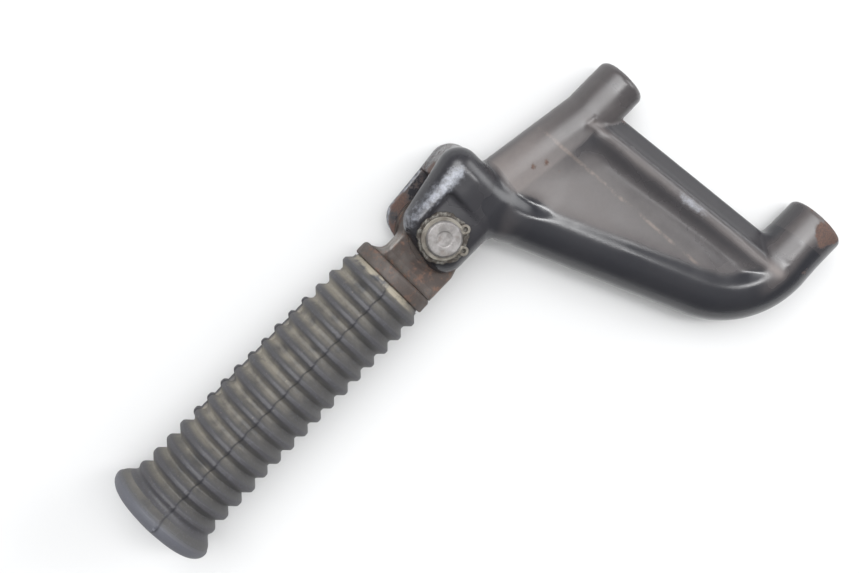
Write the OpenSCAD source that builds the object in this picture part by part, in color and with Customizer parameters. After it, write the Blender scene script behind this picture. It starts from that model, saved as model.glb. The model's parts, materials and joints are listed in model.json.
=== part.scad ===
// Folding foot peg on a pressed steel frame bracket.
// Origin: centre of the lower boss's end face. +X: out of the bosses, toward
// the frame. +Y: up in use, from the lower boss to the upper one. +Z: along
// the pivot pin, toward its circlip end. Millimetres.

/* [Frame mounting] */
// Distance between the two boss axes
boss_spacing = 85; // [78:0.5:95]
// How far the upper boss's end face sits back from the lower one's
boss_stagger = 16; // [8:0.5:20]
// Outside diameter of the lower boss
lower_boss_d = 21.8; // [20:0.1:22.6]
// Outside diameter of the upper boss and of the edge that runs into it
upper_boss_d = 17.8; // [16.5:0.1:20]
// Wall diameter of the threaded hole in each boss
boss_hole_d = 8.8; // [6.8:0.1:8.8]
// Depth of the threaded hole in each boss
boss_hole_depth = 24; // [16:0.5:28]
// Chamfer round each boss's end
boss_chamfer = 1.2; // [0.5:0.1:2]
// Length of each boss's spigot inside the shells
spigot_len = 14; // [11:0.5:15]

/* [Bracket shells] */
// Thickness of the pressed sheet
sheet_t = 2.8; // [2:0.1:3.2]
// Outside diameter of the rim that runs from the lower boss to the yoke
rim_d = 22.8; // [22.6:0.1:24]
// Half height of the flat face between the rims
face_half = 8.6; // [7.5:0.1:9]
// Half height of the rounded ridge along the straight edge
ridge_half = 9.6; // [8.8:0.1:10.5]
// Radius of that ridge
ridge_r = 4.2; // [3.6:0.1:5]
// Half height of the shells along the straight edge
edge_half = 3.6; // [3.2:0.1:5]
// Width of the sloping flange between ridge and straight edge
flange_w = 8; // [6:0.5:11]
// Distance from the upper boss's end face back to the straight edge
upper_edge_back = 12; // [9:0.1:14]
// Distance from the lower boss's end face back to the straight edge
lower_edge_back = 16.3; // [13:0.1:19]
// Straight length of the lower rim before it bends
lower_run = 20.6; // [18:0.1:24]
// Radius of the lower rim's bend, on its centre line
bend_r = 27; // [22:0.5:32]
// Straight length of the upper edge before it rises to the yoke
upper_run = 18; // [16:0.5:24]
// Distance from the yoke's slot back to the lower rim's end
foot_back = 11.4; // [10.4:0.1:12.4]
// How far the lower rim's end lies below the pivot
foot_low = 13; // [12:0.1:14]
// Distance from the yoke's slot back to the upper edge's end
shoulder_back = 16; // [15:0.1:17]
// How far the upper edge's end lies below the pivot
shoulder_low = 4.4; // [3.8:0.1:5]
// Gap that a weld or a press seat closes between welded pieces
weld_gap = 0.05; // [0.02:0.01:0.1]

/* [Pivot place] */
// Distance from the lower boss's end face back to the pivot axis
pivot_back = 96.8; // [92:0.2:106]
// Height of the pivot axis above the upper boss's axis
pivot_lift = 9.4; // [6:0.2:12]

/* [Yoke] */
// Half height of the yoke's rounded block
yoke_half = 14; // [13.5:0.1:16]
// Half height of the flats that are faced round the pin
spot_half = 12.4; // [11.8:0.1:12.8]
// How far those flats reach above the pivot
spot_high = 9.5; // [9.2:0.1:10.5]
// How far those flats reach past the slot's closed end
spot_past = 1; // [0:0.1:1.5]
// Width of the slot for the tongue
slot_w = 12; // [11.6:0.1:12.6]
// Distance from the pivot to the slot's closed end
web_back = 12; // [11.6:0.1:14]
// Length of the solid block behind the slot
web_len = 15; // [12:0.5:18]
// How far the ears reach past the pivot toward the peg
ear_front = 11; // [10.6:0.1:12]
// How far the ears reach above the pivot
ear_top = 16.2; // [15.5:0.1:16.4]
// How much higher the yoke's solid end is than the ears
head_rise = 1; // [0.5:0.1:1.2]
// How far the ears reach below the pivot
ear_bottom = 12.3; // [11.5:0.1:13.5]
// How far the ears' upper front corner is cut back along the peg
top_cut_long = 3.9; // [3.4:0.1:4.4]
// How far down that corner is cut
top_cut_deep = 5; // [4.5:0.1:5.5]
// How far the ears' lower front corner is cut back along the peg
low_cut_long = 3.3; // [2.8:0.1:3.8]
// How far up that corner is cut
low_cut_deep = 2; // [1.5:0.1:2.5]
// How much fuller the rear ear's upper corner is
rear_ear_grow = 2; // [1.6:0.1:2.4]
// Rounding radius of the yoke's corners and edges
yoke_round = 6.5; // [5.5:0.1:7]
// Length of the tenon that the shells are welded round
tenon_len = 15; // [10:0.5:18]
// Width of that tenon
tenon_w = 13; // [10:0.5:14]
// How far the tenon's middle lies below the pivot
tenon_low = 9.5; // [8.5:0.5:10.5]
// How far the weld bead spreads over the yoke
bead_spread = 2.2; // [1.6:0.1:2.6]
// How far the weld bead stands on the shells
bead_proud = 1.6; // [1:0.1:2]

/* [Pivot pin] */
// Diameter of the pivot pin
pin_d = 12; // [11:0.1:12.4]
// Radial running clearance round the pin
pin_fit = 0.05; // [0.02:0.01:0.1]
// Diameter of the pin's head
pin_head_d = 17; // [15:0.1:18]
// Thickness of the pin's head
pin_head_t = 3; // [2:0.1:4]
// Length of the pin's end beyond the circlip
pin_nose = 1.2; // [0.8:0.1:2]
// Outside diameter of the washer under the circlip
washer_d = 17.6; // [16:0.1:18.4]
// Thickness of that washer
washer_t = 1.2; // [1:0.1:1.6]
// Thickness of the circlip
circlip_t = 1.1; // [1:0.1:1.3]
// Depth of the groove that holds the circlip
groove_depth = 0.5; // [0.3:0.05:0.7]
// Radial width of the circlip's band
circlip_band = 1.9; // [1.5:0.1:2.3]
// Direction of the circlip's opening, seen from above
circlip_turn = -50; // [-180:5:180]
// Radius of the circlip's lugs
lug_r = 1.7; // [1.4:0.1:1.9]
// Radius of the holes in the circlip's lugs
lug_hole_r = 0.75; // [0.5:0.05:0.9]
// Half angle between the two lugs
lug_angle = 27; // [24:1:32]

/* [Tongue] */
// Thickness of the tongue
tongue_t = 9; // [8.4:0.1:9.2]
// Radius of the tongue's eye
eye_r = 11.4; // [10.8:0.1:11.5]
// How far the tongue's lower edge lies below the pivot
tongue_low = 13.6; // [12.6:0.1:14.2]
// How far the tongue's upper edge lies above the pivot
tongue_high = 8.4; // [7:0.1:9.4]
// Bevel of the tongue's lower heel corner
heel_bevel = 2.1; // [1.5:0.1:3]
// Gap between the tongue's heel and the yoke at the stop
stop_gap = 0.3; // [0.25:0.05:0.5]
// Thickness of the spring washer beside the tongue
thrust_t = 0.8; // [0.6:0.1:0.9]
// Outside diameter of the spring washer beside the tongue
thrust_d = 20; // [18:0.5:21]

/* [Detent] */
// Angle that the peg folds through
fold_angle = 90; // [60:5:90]
// Diameter of the detent ball
ball_d = 4; // [3.6:0.1:4.2]
// Distance from the pivot to the ball
detent_r = 10.2; // [9.8:0.1:10.4]
// How far the ball stands out of the tongue
ball_proud = 0.7; // [0.6:0.05:0.8]
// Thickness of the detent plate
detent_plate_t = 1.5; // [1.4:0.1:1.6]
// Width of the key that stops the detent plate from turning
plate_key_w = 16; // [14:0.5:18]
// Width of metal outside the ball's circle on that plate
plate_margin = 2.4; // [2.2:0.1:2.6]
// Depth of the track that the ball runs along in the plate
track_depth = 0.75; // [0.7:0.05:0.85]
// Depth of the ball and spring's hole in the tongue
detent_hole_depth = 7; // [6:0.1:7.5]
// Wire diameter of the detent spring
spring_wire = 0.6; // [0.5:0.05:0.7]
// Turns of the detent spring
spring_turns = 5; // [4:1:6]

/* [Collar] */
// Distance from the pivot to the collar plate
collar_front = 17.5; // [17.2:0.1:20]
// Diameter of the collar plate
collar_d = 29.4; // [28.6:0.1:32]
// Thickness of the collar plate
collar_t = 5; // [4:0.1:6]
// Rounding of the collar plate's edges
collar_round = 0.9; // [0.4:0.1:1.4]
// Height of the weld fillet above the tongue
weld_high = 4.6; // [3:0.1:5.4]
// Size of the weld fillets on the tongue's sides
weld_side = 3; // [2:0.1:4]

/* [Peg core] */
// Outside diameter of the core tube
core_d = 22; // [20:0.1:23]
// Wall thickness of the core tube
core_wall = 2.8; // [2:0.1:4]
// Diameter of the flange at the core's outer end
core_flange_d = 28; // [26:0.1:29]
// Thickness of that flange
core_flange_t = 2.5; // [2:0.1:3]
// Size of the weld bead between core tube and collar
core_bead = 1.4; // [1:0.1:1.7]

/* [Rubber grip] */
// Number of ribs
rib_count = 16; // [12:1:18]
// Distance from rib to rib
rib_pitch = 6.3; // [5.8:0.05:6.8]
// Diameter over the ribs
rib_d = 32; // [31:0.1:34]
// Diameter in the valleys between ribs
valley_d = 27.8; // [27:0.1:28.6]
// Width of a rib's flat crest
rib_crest = 2; // [1.4:0.1:2.6]
// Width of a rib at its foot
rib_foot = 5.2; // [3.6:0.1:5.4]
// Height of a rib's sloping shoulder, as a share of the rib's height
rib_shoulder = 0.35; // [0.25:0.05:0.45]
// Run of that shoulder along the peg
rib_slope = 0.75; // [0.5:0.05:0.9]
// Length of the plain lip between the collar and the first rib
lip_len = 2.4; // [1.8:0.1:3]
// Diameter of that lip
lip_d = 27; // [25.5:0.1:28]
// Diameter of the flared end
flare_d = 39.6; // [37:0.1:42]
// Length of the flared end, without its domed face
flare_len = 9.8; // [8.6:0.1:12]
// Rounding radius of the flare's edge
flare_round = 4.2; // [3.4:0.1:4.3]
// Height of the domed end face
dome_h = 2.5; // [1.8:0.1:4]
// Thickness of rubber outside the core's flange
end_wall = 5; // [4.2:0.1:6]
// Width of the tread strip along the top of the ribs
tread_w = 5; // [3:0.5:8]
// First rib that the tread strip joins
tread_first = 4; // [2:1:6]
// Last rib that the tread strip joins
tread_last = 12; // [9:1:12]
// How far the tread strip lies under the ribs' crests
tread_drop = 0.9; // [0.2:0.1:1.4]

/* [Hidden] */
$fn = 96;
BALL_FN = 28;

over = 1;                       // how far a cutting solid runs past a face
paint = [0.13, 0.135, 0.145];
bare_steel = [0.52, 0.50, 0.48];
rusty_steel = [0.40, 0.32, 0.28];
plated = [0.68, 0.69, 0.67];
black_rubber = [0.25, 0.25, 0.26];

pivot_rise = boss_spacing + pivot_lift;         // pivot axis above the lower boss's axis
pivot = [-pivot_back, pivot_rise];
lower_r = lower_boss_d / 2;
rim_r = rim_d / 2;
upper_r = upper_boss_d / 2;
upper_end = [-boss_stagger, boss_spacing];

// Shells: centre lines of the rims, in the plane between the two shells
foot = pivot + [web_back + foot_back, -foot_low];
shoulder = pivot + [web_back + shoulder_back, -shoulder_low];
rim_taper = 0.6;                // how much the rims' radius changes toward the yoke
edge_round = 0.8;               // corner radius along the straight edge
bend_centre = [-lower_run, bend_r];
foot_vector = foot - bend_centre;
foot_distance = norm(foot_vector);
leg_turn = atan2(foot_vector[1], foot_vector[0]) + acos(bend_r / foot_distance);
bend_steps = 5;
bend_line = [for (i = [0:bend_steps])
    let (a = 270 + (leg_turn - 270) * i / bend_steps)
    bend_centre + bend_r * [cos(a), sin(a)]];
leg_end = bend_line[bend_steps];
upper_corner = upper_end - [upper_run, 0];
edge_top = upper_end - [upper_edge_back, 0];
edge_bottom = [-lower_edge_back, 0];
ridge_top = edge_top - [flange_w, 0];
ridge_bottom = edge_bottom - [flange_w, 0];
tenon_half = face_half - sheet_t - weld_gap;

// Pin stack, from the yoke's faced flat upward
washer_z = spot_half + weld_gap;
clip_z = washer_z + washer_t + weld_gap;
pin_top = clip_z + circlip_t + pin_nose;
hole_r = pin_d / 2 + pin_fit;
clip_inner = pin_d / 2 - groove_depth + weld_gap;
clip_outer = clip_inner + circlip_band;
lug_place = clip_outer + 0.2;   // from the pin's axis to the middle of a lug
clip_gap = 15;                  // half angle of the circlip's opening
pin_chamfer = 0.8;

// Tongue, stacked between the detent plate and the spring washer
moving_gap = 0.3;
tongue_z0 = -slot_w / 2 + detent_plate_t + moving_gap;
tongue_z1 = tongue_z0 + tongue_t;
heel = web_back - stop_gap;
thrust_z = slot_w / 2 - weld_gap - thrust_t;
collar_x = pivot[0] - collar_front;             // collar face toward the yoke
core_x = collar_x - collar_t;                   // collar face toward the rubber
detent_bore_r = ball_d / 2 + weld_gap;
detent_angle = 225;             // where the ball lies round the pivot with the peg down
detent_place = pivot + detent_r * [cos(detent_angle), sin(detent_angle)];
ball_z = tongue_z0 - ball_proud + ball_d / 2;
track_half = ball_d / 2;
track_spare = 10;               // how far the track runs on past each end, as an angle
plate_end = web_back - weld_gap;
spring_room = 0.2;              // room round the spring in its hole

// Rubber, along the peg from the collar outward
lip_round = 0.6;
rib_rise = 0.9;                 // run from the lip to the first rib's crest
first_rib = lip_len + rib_crest / 2 + rib_rise;
last_rib = first_rib + (rib_count - 1) * rib_pitch;
rubber_len = last_rib + rib_crest / 2 + flare_len;
core_len = rubber_len + dome_h - end_wall;
mouth = 1.8;                    // bevel of the rubber's mouth, round the core's weld bead
flare_start = 2.4;              // how far inside the flare's edge its slope ends
dome_share = 0.4;               // how far the dome runs onto the flare's rounding
tread_root = 0.6;               // how deep the tread strip is rooted in the valleys

function at(p, z) = [p[0], p[1], z];

module ball_at(p, z, r) translate(at(p, z)) sphere(r, $fn = BALL_FN);

// One straight stretch of a rim, with round ends
module rim(a, b, ra, rb) hull() {
    ball_at(a, 0, ra);
    ball_at(b, 0, rb);
}

// Everything inside the shells' outer surface, shrunk by inset
module bracket_form(inset) {
    low = rim_r - inset;
    high = upper_r - inset;
    for (i = [0:bend_steps - 1]) rim(bend_line[i], bend_line[i + 1], low, low);
    rim(leg_end, foot, low, low - rim_taper);
    rim(upper_corner, shoulder, high, high + rim_taper);
    translate([-lower_run, 0, 0]) rotate([0, 90, 0])
        cylinder(r = low, h = lower_run - lower_edge_back + inset, $fn = BALL_FN);
    translate(at(upper_corner, 0)) rotate([0, 90, 0])
        cylinder(r = high, h = upper_run - upper_edge_back + inset, $fn = BALL_FN);
    translate([0, 0, inset - face_half]) linear_extrude(2 * (face_half - inset))
        polygon(concat([shoulder, upper_corner, ridge_top, ridge_bottom], bend_line, [foot]));
    flange_form(inset);
}

// The ridge and the flange that slopes down to the straight edge
module flange_form(inset) hull() {
    for (p = [ridge_top, ridge_bottom], side = [-1, 1])
        ball_at(p, side * (ridge_half - ridge_r), ridge_r - inset);
    for (p = [edge_top, edge_bottom])
        translate(at(p - [inset, 0], inset - edge_half))
            cylinder(r = edge_round, h = 2 * (edge_half - inset), $fn = BALL_FN);
}

// The yoke's rounded block, without slot or holes, grown by extra
module yoke_block(extra) {
    r = yoke_round + extra;
    right = web_back + web_len - yoke_round;
    front = yoke_round - ear_front;
    top = ear_top - yoke_round;
    bottom = yoke_round - ear_bottom;
    level = yoke_half - yoke_round;
    translate(at(pivot, 0)) hull()
        for (z = [-level, level]) {
            grow = z < 0 ? rear_ear_grow : 0;
            ball_at([right, top + head_rise], z, r);
            ball_at([right, bottom], z, r);
            ball_at([front + top_cut_long - grow, top], z, r);
            ball_at([front, top - top_cut_deep + grow], z, r);
            ball_at([front, bottom + low_cut_deep], z, r);
            ball_at([front + low_cut_long, bottom], z, r);
        }
}

// Both shells together: hollow, open for the bosses and the yoke
module shells() difference() {
    bracket_form(0);
    bracket_form(sheet_t);
    yoke_block(weld_gap);
    boss_solid([0, 0], lower_r, lower_edge_back, weld_gap);
    boss_solid(upper_end, upper_r, upper_edge_back, weld_gap);
}

// All that lies above the seam between the two shells
module upper_space() {
    big = 2 * (pivot_back + pivot_rise);
    translate([-big, -big, weld_gap / 2]) cube([2 * big, 2 * big, big]);
}

// A boss's outside: the head that shows, and the spigot inside the shells
module boss_solid(end, r, back, extra) translate(at(end, 0)) rotate([0, -90, 0]) {
    if (extra == 0) cylinder(r1 = r - boss_chamfer, r2 = r, h = boss_chamfer);
    translate([0, 0, extra == 0 ? boss_chamfer : 0])
        cylinder(r = r, h = back - (extra == 0 ? boss_chamfer : 0) + extra);
    translate([0, 0, back - over])
        cylinder(r = r - sheet_t - weld_gap + extra, h = spigot_len + over + extra);
}

module boss(end, r, back) difference() {
    boss_solid(end, r, back, 0);
    translate(at(end + [over, 0], 0)) rotate([0, -90, 0])
        cylinder(d = boss_hole_d, h = boss_hole_depth + over);
}

// The half of the shells on the circlip's side
module half_shell() intersection() {
    shells();
    upper_space();
}

module front_shell() color(paint) half_shell();

module rear_shell() color(paint) mirror([0, 0, 1]) half_shell();

module upper_boss() color(paint) boss(upper_end, upper_r, upper_edge_back);

module lower_boss() color(paint) boss([0, 0], lower_r, lower_edge_back);

module yoke() color(paint) difference() {
    union() {
        yoke_block(0);
        translate(at(pivot + [web_back + web_len - yoke_round, -tenon_low - tenon_w / 2], -tenon_half))
            cube([tenon_len + yoke_round, tenon_w, 2 * tenon_half]);
    }
    translate(at(pivot + [-ear_front - over, -ear_bottom - over], -slot_w / 2))
        cube([ear_front + web_back + over, ear_bottom + ear_top + 2 * over, slot_w]);
    for (z = [spot_half, -spot_half - yoke_half])
        translate(at(pivot + [-ear_front - over, -ear_bottom - over], z))
            cube([ear_front + web_back + spot_past + over, ear_bottom + spot_high + over, yoke_half]);
    translate(at(pivot, -yoke_half - over)) cylinder(r = hole_r, h = 2 * (yoke_half + over));
}

// Bead round the yoke's back where the shells meet it
module yoke_weld() color(paint) difference() {
    intersection() {
        yoke_block(bead_spread);
        bracket_form(-bead_proud);
        translate(at(pivot + [web_back + 3, -2 * ear_bottom], -yoke_half))
            cube([2 * web_len, 2 * (ear_bottom + ear_top), 2 * yoke_half]);
    }
    yoke_block(weld_gap);
    bracket_form(-weld_gap);
}

module pivot_pin() color(bare_steel) translate(at(pivot, 0)) difference() {
    union() {
        translate([0, 0, -spot_half]) cylinder(d = pin_d, h = spot_half + pin_top - pin_chamfer);
        translate([0, 0, pin_top - pin_chamfer])
            cylinder(d1 = pin_d, d2 = pin_d - 2 * pin_chamfer, h = pin_chamfer);
        translate([0, 0, -spot_half - weld_gap - pin_head_t]) cylinder(d = pin_head_d, h = pin_head_t);
        translate([0, 0, -spot_half - weld_gap - over]) cylinder(d = pin_d, h = 2 * over);
    }
    translate([0, 0, clip_z - weld_gap]) difference() {
        cylinder(d = pin_d + over, h = circlip_t + 2 * weld_gap);
        translate([0, 0, -over]) cylinder(d = pin_d - 2 * groove_depth, h = circlip_t + 2 * over);
    }
}

module pin_washer() color(plated) translate(at(pivot, washer_z)) difference() {
    cylinder(d = washer_d, h = washer_t);
    translate([0, 0, -over]) cylinder(r = hole_r, h = washer_t + 2 * over);
}

module circlip() color(plated) translate(at(pivot, clip_z)) rotate(circlip_turn)
    linear_extrude(circlip_t) difference() {
        union() {
            circle(r = clip_outer);
            lugs(lug_r);
        }
        circle(r = clip_inner);
        lugs(lug_hole_r);
        polygon([[0, 0], for (side = [-1, 1]) 2 * clip_outer * [cos(clip_gap), side * sin(clip_gap)]]);
    }

// The circlip's two lugs, or the holes in them
module lugs(r) for (side = [-1, 1]) rotate(side * lug_angle) translate([lug_place, 0]) circle(r = r);

module spring_washer() color(plated) translate(at(pivot, thrust_z)) difference() {
    cylinder(d = thrust_d, h = thrust_t);
    translate([0, 0, -over]) cylinder(r = hole_r, h = thrust_t + 2 * over);
}

// Hardened plate that the ball runs on, keyed against the slot's closed end
module detent_plate() color(bare_steel) translate(at(pivot, -slot_w / 2)) difference() {
    linear_extrude(detent_plate_t) intersection() {
        union() {
            circle(r = detent_r + plate_margin);
            translate([0, -plate_key_w / 2]) square([plate_end, plate_key_w]);
        }
        translate([-2 * detent_r, -ear_bottom]) square([2 * detent_r + plate_end, ear_bottom + ear_top]);
    }
    translate([0, 0, -over]) cylinder(r = hole_r, h = detent_plate_t + 2 * over);
    translate([0, 0, detent_plate_t - track_depth - moving_gap]) track();
}

// Curved track of the ball, from the down position to the folded one
module track() rotate(detent_angle - fold_angle - track_spare)
    rotate_extrude(angle = fold_angle + 2 * track_spare)
        translate([detent_r - track_half, 0]) square([2 * track_half, detent_plate_t + over]);

// Side outline of the tongue: eye, square heel and neck up to the collar
module tongue_outline() {
    circle(r = eye_r);
    translate([-collar_front, 0]) square([collar_front, tongue_high]);
    polygon([[-collar_front, 0], [-collar_front, -tongue_low], [heel - heel_bevel, -tongue_low],
             [heel, heel_bevel - tongue_low], [heel, 0]]);
}

module tongue() color(rusty_steel) difference() {
    translate(at(pivot, tongue_z0)) linear_extrude(tongue_t) tongue_outline();
    translate(at(pivot, tongue_z0 - over)) cylinder(r = hole_r, h = tongue_t + 2 * over);
    translate(at(detent_place, tongue_z0 - over)) cylinder(r = detent_bore_r, h = detent_hole_depth + over);
}

// Coil of round wire between the ball and the bottom of its hole
module detent_spring() color(plated) {
    wire = spring_wire / 2;
    coil = detent_bore_r - spring_room - wire;
    bottom = ball_z + ball_d / 2 - wire;
    top = tongue_z0 + detent_hole_depth - wire - weld_gap;
    per_turn = 16;
    sides = 8;
    rings = per_turn * spring_turns;
    points = [for (i = [0:rings], j = [0:sides - 1])
        let (a = 360 * i / per_turn, b = 360 * j / sides, r = coil + wire * cos(b))
        [r * cos(a), r * sin(a), bottom + (top - bottom) * i / rings + wire * sin(b)]];
    walls = [for (i = [0:rings - 1], j = [0:sides - 1])
        let (k = (j + 1) % sides)
        [i * sides + j, i * sides + k, (i + 1) * sides + k, (i + 1) * sides + j]];
    start = [for (j = [sides - 1:-1:0]) j];
    finish = [for (j = [0:sides - 1]) rings * sides + j];
    translate(at(detent_place, 0)) polyhedron(points, concat(walls, [start, finish]));
}

module detent_ball() color(plated) translate(at(detent_place, ball_z)) sphere(d = ball_d);

module collar_plate() color(rusty_steel) translate([collar_x, pivot_rise, 0]) rotate([0, -90, 0])
    rotate_extrude() polygon([
        [0, 0], [collar_d / 2 - collar_round, 0], [collar_d / 2, collar_round],
        [collar_d / 2, collar_t - collar_round], [collar_d / 2 - collar_round, collar_t], [0, collar_t]]);

// Concave corner between two faces at right angles
module fillet(size) difference() {
    square(size);
    translate([size, size]) circle(r = size, $fn = 64);
}

module collar_weld() color(bare_steel) {
    translate(at([collar_x, pivot_rise + tongue_high], tongue_z0)) linear_extrude(tongue_t) fillet(weld_high);
    for (side = [-1, 1])
        translate([collar_x, pivot_rise - tongue_low + 1, side > 0 ? tongue_z1 : tongue_z0])
            rotate([-90, 0, 0]) linear_extrude(tongue_low + tongue_high - 1)
                mirror([0, side > 0 ? 1 : 0]) fillet(weld_side);
}

module core_tube() color(bare_steel) translate([core_x, pivot_rise, 0]) rotate([0, -90, 0]) difference() {
    cylinder(d = core_d, h = core_len - core_flange_t);
    translate([0, 0, -over]) cylinder(d = core_d - 2 * core_wall, h = core_len + 2 * over);
}

module core_flange() color(bare_steel)
    translate([core_x - core_len + core_flange_t, pivot_rise, 0]) rotate([0, -90, 0])
        cylinder(d = core_flange_d, h = core_flange_t);

// Bead inside the rubber's mouth, between core tube and collar
module core_weld() color(bare_steel) translate([core_x, pivot_rise, 0]) rotate([0, -90, 0])
    rotate_extrude() translate([core_d / 2, 0]) fillet(core_bead);

// Half section of one rib, from valley to valley
function rib_section(k) =
    let (x = first_rib + k * rib_pitch, v = valley_d / 2, c = rib_d / 2, s = v + rib_shoulder * (c - v))
    [[v, x - rib_foot / 2], [s, x - rib_foot / 2 + rib_slope], [c, x - rib_crest / 2],
     [c, x + rib_crest / 2], [s, x + rib_foot / 2 - rib_slope], [v, x + rib_foot / 2]];

module rubber_section() difference() {
    union() {
        polygon(concat(
            [[0, 0], [lip_d / 2, 0], [lip_d / 2, lip_len - lip_round], [valley_d / 2, lip_len]],
            [for (k = [0:rib_count - 1]) each rib_section(k)],
            [[flare_d / 2 - flare_start, rubber_len - flare_round], [0, rubber_len - flare_round]]));
        flare_section();
    }
    square([core_d / 2, core_len - core_flange_t]);
    polygon([[0, -over], [core_d / 2 + mouth + over, -over], [core_d / 2, mouth], [0, mouth]]);
    translate([0, core_len - core_flange_t]) square([core_flange_d / 2, core_flange_t]);
}

// Half section of the flared end: a round lip and a shallow dome
module flare_section() {
    lip = flare_round;
    dome_base = flare_d / 2 - dome_share * lip;
    dome_r = (dome_base * dome_base + dome_h * dome_h) / (2 * dome_h);
    translate([flare_d / 2 - lip, rubber_len - lip]) circle(r = lip);
    translate([0, rubber_len - 2 * lip]) square([flare_d / 2 - lip, 2 * lip]);
    intersection() {
        translate([0, rubber_len + dome_h - dome_r]) circle(r = dome_r);
        translate([0, rubber_len - dome_share * lip]) square([dome_base - dome_h, dome_h + lip]);
    }
}

module rubber_grip() color(black_rubber) {
    translate([core_x, pivot_rise, 0]) rotate([0, -90, 0]) rotate_extrude() rubber_section();
    for (k = [tread_first:tread_last - 1])
        translate([core_x - first_rib - k * rib_pitch, pivot_rise + valley_d / 2 - tread_root, -tread_w / 2])
            cube([rib_pitch, (rib_d - valley_d) / 2 - tread_drop + tread_root, tread_w]);
}

front_shell();
rear_shell();
upper_boss();
lower_boss();
yoke();
yoke_weld();
pivot_pin();
pin_washer();
circlip();
spring_washer();
detent_plate();
tongue();
detent_spring();
detent_ball();
collar_plate();
collar_weld();
core_tube();
core_flange();
core_weld();
rubber_grip();
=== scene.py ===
"""Folding foot peg on a pressed-steel bracket: its looks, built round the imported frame.

Each sub-assembly is a class that holds its sizes in millimetres, builds its pieces as meshes and
dresses them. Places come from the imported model's boxes and its joint.
"""

import json
import logging
import math
from dataclasses import dataclass
from enum import Enum
from typing import Any, Callable, Sequence

import bmesh
import bpy
import numpy as np
from mathutils import Euler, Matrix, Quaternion, Vector


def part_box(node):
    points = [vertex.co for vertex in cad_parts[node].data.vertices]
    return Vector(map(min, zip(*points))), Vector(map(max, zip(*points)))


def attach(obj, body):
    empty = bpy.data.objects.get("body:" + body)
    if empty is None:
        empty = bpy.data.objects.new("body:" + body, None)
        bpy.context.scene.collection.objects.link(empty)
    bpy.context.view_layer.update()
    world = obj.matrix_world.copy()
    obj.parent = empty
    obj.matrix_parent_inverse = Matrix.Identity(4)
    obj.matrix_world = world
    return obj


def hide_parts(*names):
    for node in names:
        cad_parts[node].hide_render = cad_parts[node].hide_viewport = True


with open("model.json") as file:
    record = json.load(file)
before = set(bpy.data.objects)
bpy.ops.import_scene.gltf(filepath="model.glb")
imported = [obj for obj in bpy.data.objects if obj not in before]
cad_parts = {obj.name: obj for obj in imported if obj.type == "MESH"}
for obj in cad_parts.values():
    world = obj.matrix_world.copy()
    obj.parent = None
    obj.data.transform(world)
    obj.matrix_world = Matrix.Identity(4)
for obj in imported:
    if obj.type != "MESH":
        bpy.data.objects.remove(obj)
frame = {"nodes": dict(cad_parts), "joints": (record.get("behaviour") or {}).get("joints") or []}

log = logging.getLogger("foot_peg")

MM = 0.001
TINY = 1e-9
SHARP_ANGLE = 38.0
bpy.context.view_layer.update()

Pair = tuple[float, float]
Triple = tuple[float, float, float]
Ramp = Pair
Colour = Triple
Array = np.ndarray
Material = bpy.types.Material


class Body(Enum):
    """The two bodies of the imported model."""

    BRACKET = "bracket"
    PEG = "peg"


class Slot(Enum):
    """The record's material slots."""

    PAINT = "black_paint"
    RUSTY = "rusty_steel"
    BARE = "bare_steel"
    PIN = "pin_steel"
    PLATED = "plated_steel"
    RUBBER = "grip_rubber"


def box_mm(node: str) -> tuple[Array, Array]:
    """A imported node's lowest and highest corner, in millimetres."""
    low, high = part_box(node)
    return np.array(low) / MM, np.array(high) / MM


@dataclass(frozen=True)
class Places:
    """The points that the pieces share, in millimetres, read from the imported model."""

    pivot: Array
    lower_end: Array
    upper_end: Array
    lower_r: float
    upper_r: float
    rim_r: float
    collar_face: float
    rubber_face: float

    @classmethod
    def read(cls) -> "Places":
        """Reads the places from the joint and from the nodes' boxes.

        Returns:
            The places.
        """
        joint = frame["joints"][0]
        pivot = np.array(joint["pos_m"], float) / MM
        lower = box_mm("lower_boss")
        upper = box_mm("upper_boss")
        shell = box_mm("front_shell")
        collar = box_mm("collar_plate")
        return cls(
            pivot=pivot,
            lower_end=np.array([lower[1][0], (lower[0][1] + lower[1][1]) / 2, 0.0]),
            upper_end=np.array([upper[1][0], (upper[0][1] + upper[1][1]) / 2, 0.0]),
            lower_r=(lower[1][1] - lower[0][1]) / 2,
            upper_r=(upper[1][1] - upper[0][1]) / 2,
            rim_r=shell[1][2],
            collar_face=collar[1][0],
            rubber_face=collar[0][0],
        )


# Solids as distance fields


def smooth_min(a: Array, b: Array, blend: float | Array) -> Array:
    """The lesser of two fields, rounded over where they are close.

    Args:
        a: The first field's values.
        b: The second field's values.
        blend: Over how much difference they run together, 0 for a sharp edge.

    Returns:
        The joined values.
    """
    if np.max(blend) <= 0:
        return np.minimum(a, b)
    near = np.maximum(blend - np.abs(a - b), 0) / blend
    return np.minimum(a, b) - near * near * blend / 4


def smooth_step(value: Array) -> Array:
    """A ramp from 0 to 1 with soft ends."""
    t = np.clip(value, 0, 1)
    return t * t * (3 - 2 * t)


def ramp(value: Array, start: float, reach: float | Array) -> Array:
    """From 0 at the start to 1 a reach further on, with soft ends; a reach below 0 goes the other way."""
    return smooth_step((value - start) / reach)


def wrapped(angle: Array) -> Array:
    """The same angle between half a turn back and half a turn on."""
    return (angle + math.pi) % math.tau - math.pi


def ripple(angle: Array, *waves: Triple) -> Array:
    """A sum of waves round a circle, each with its height, its number and its shift."""
    return sum(high * np.sin(number * angle + shift) for high, number, shift in waves)


def bell(value: Array) -> Array:
    """A soft bump: 1 at 0, and next to nothing past 2 on either side."""
    return np.exp(-value**2)


def round_edge(a: Array, b: Array, rounding: float) -> Array:
    """Distance to what lies inside two fields at right angles, with a round edge where they meet."""
    outside = np.hypot(np.maximum(a, 0), np.maximum(b, 0))
    return outside + np.minimum(np.maximum(a, b), 0) - rounding


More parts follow.
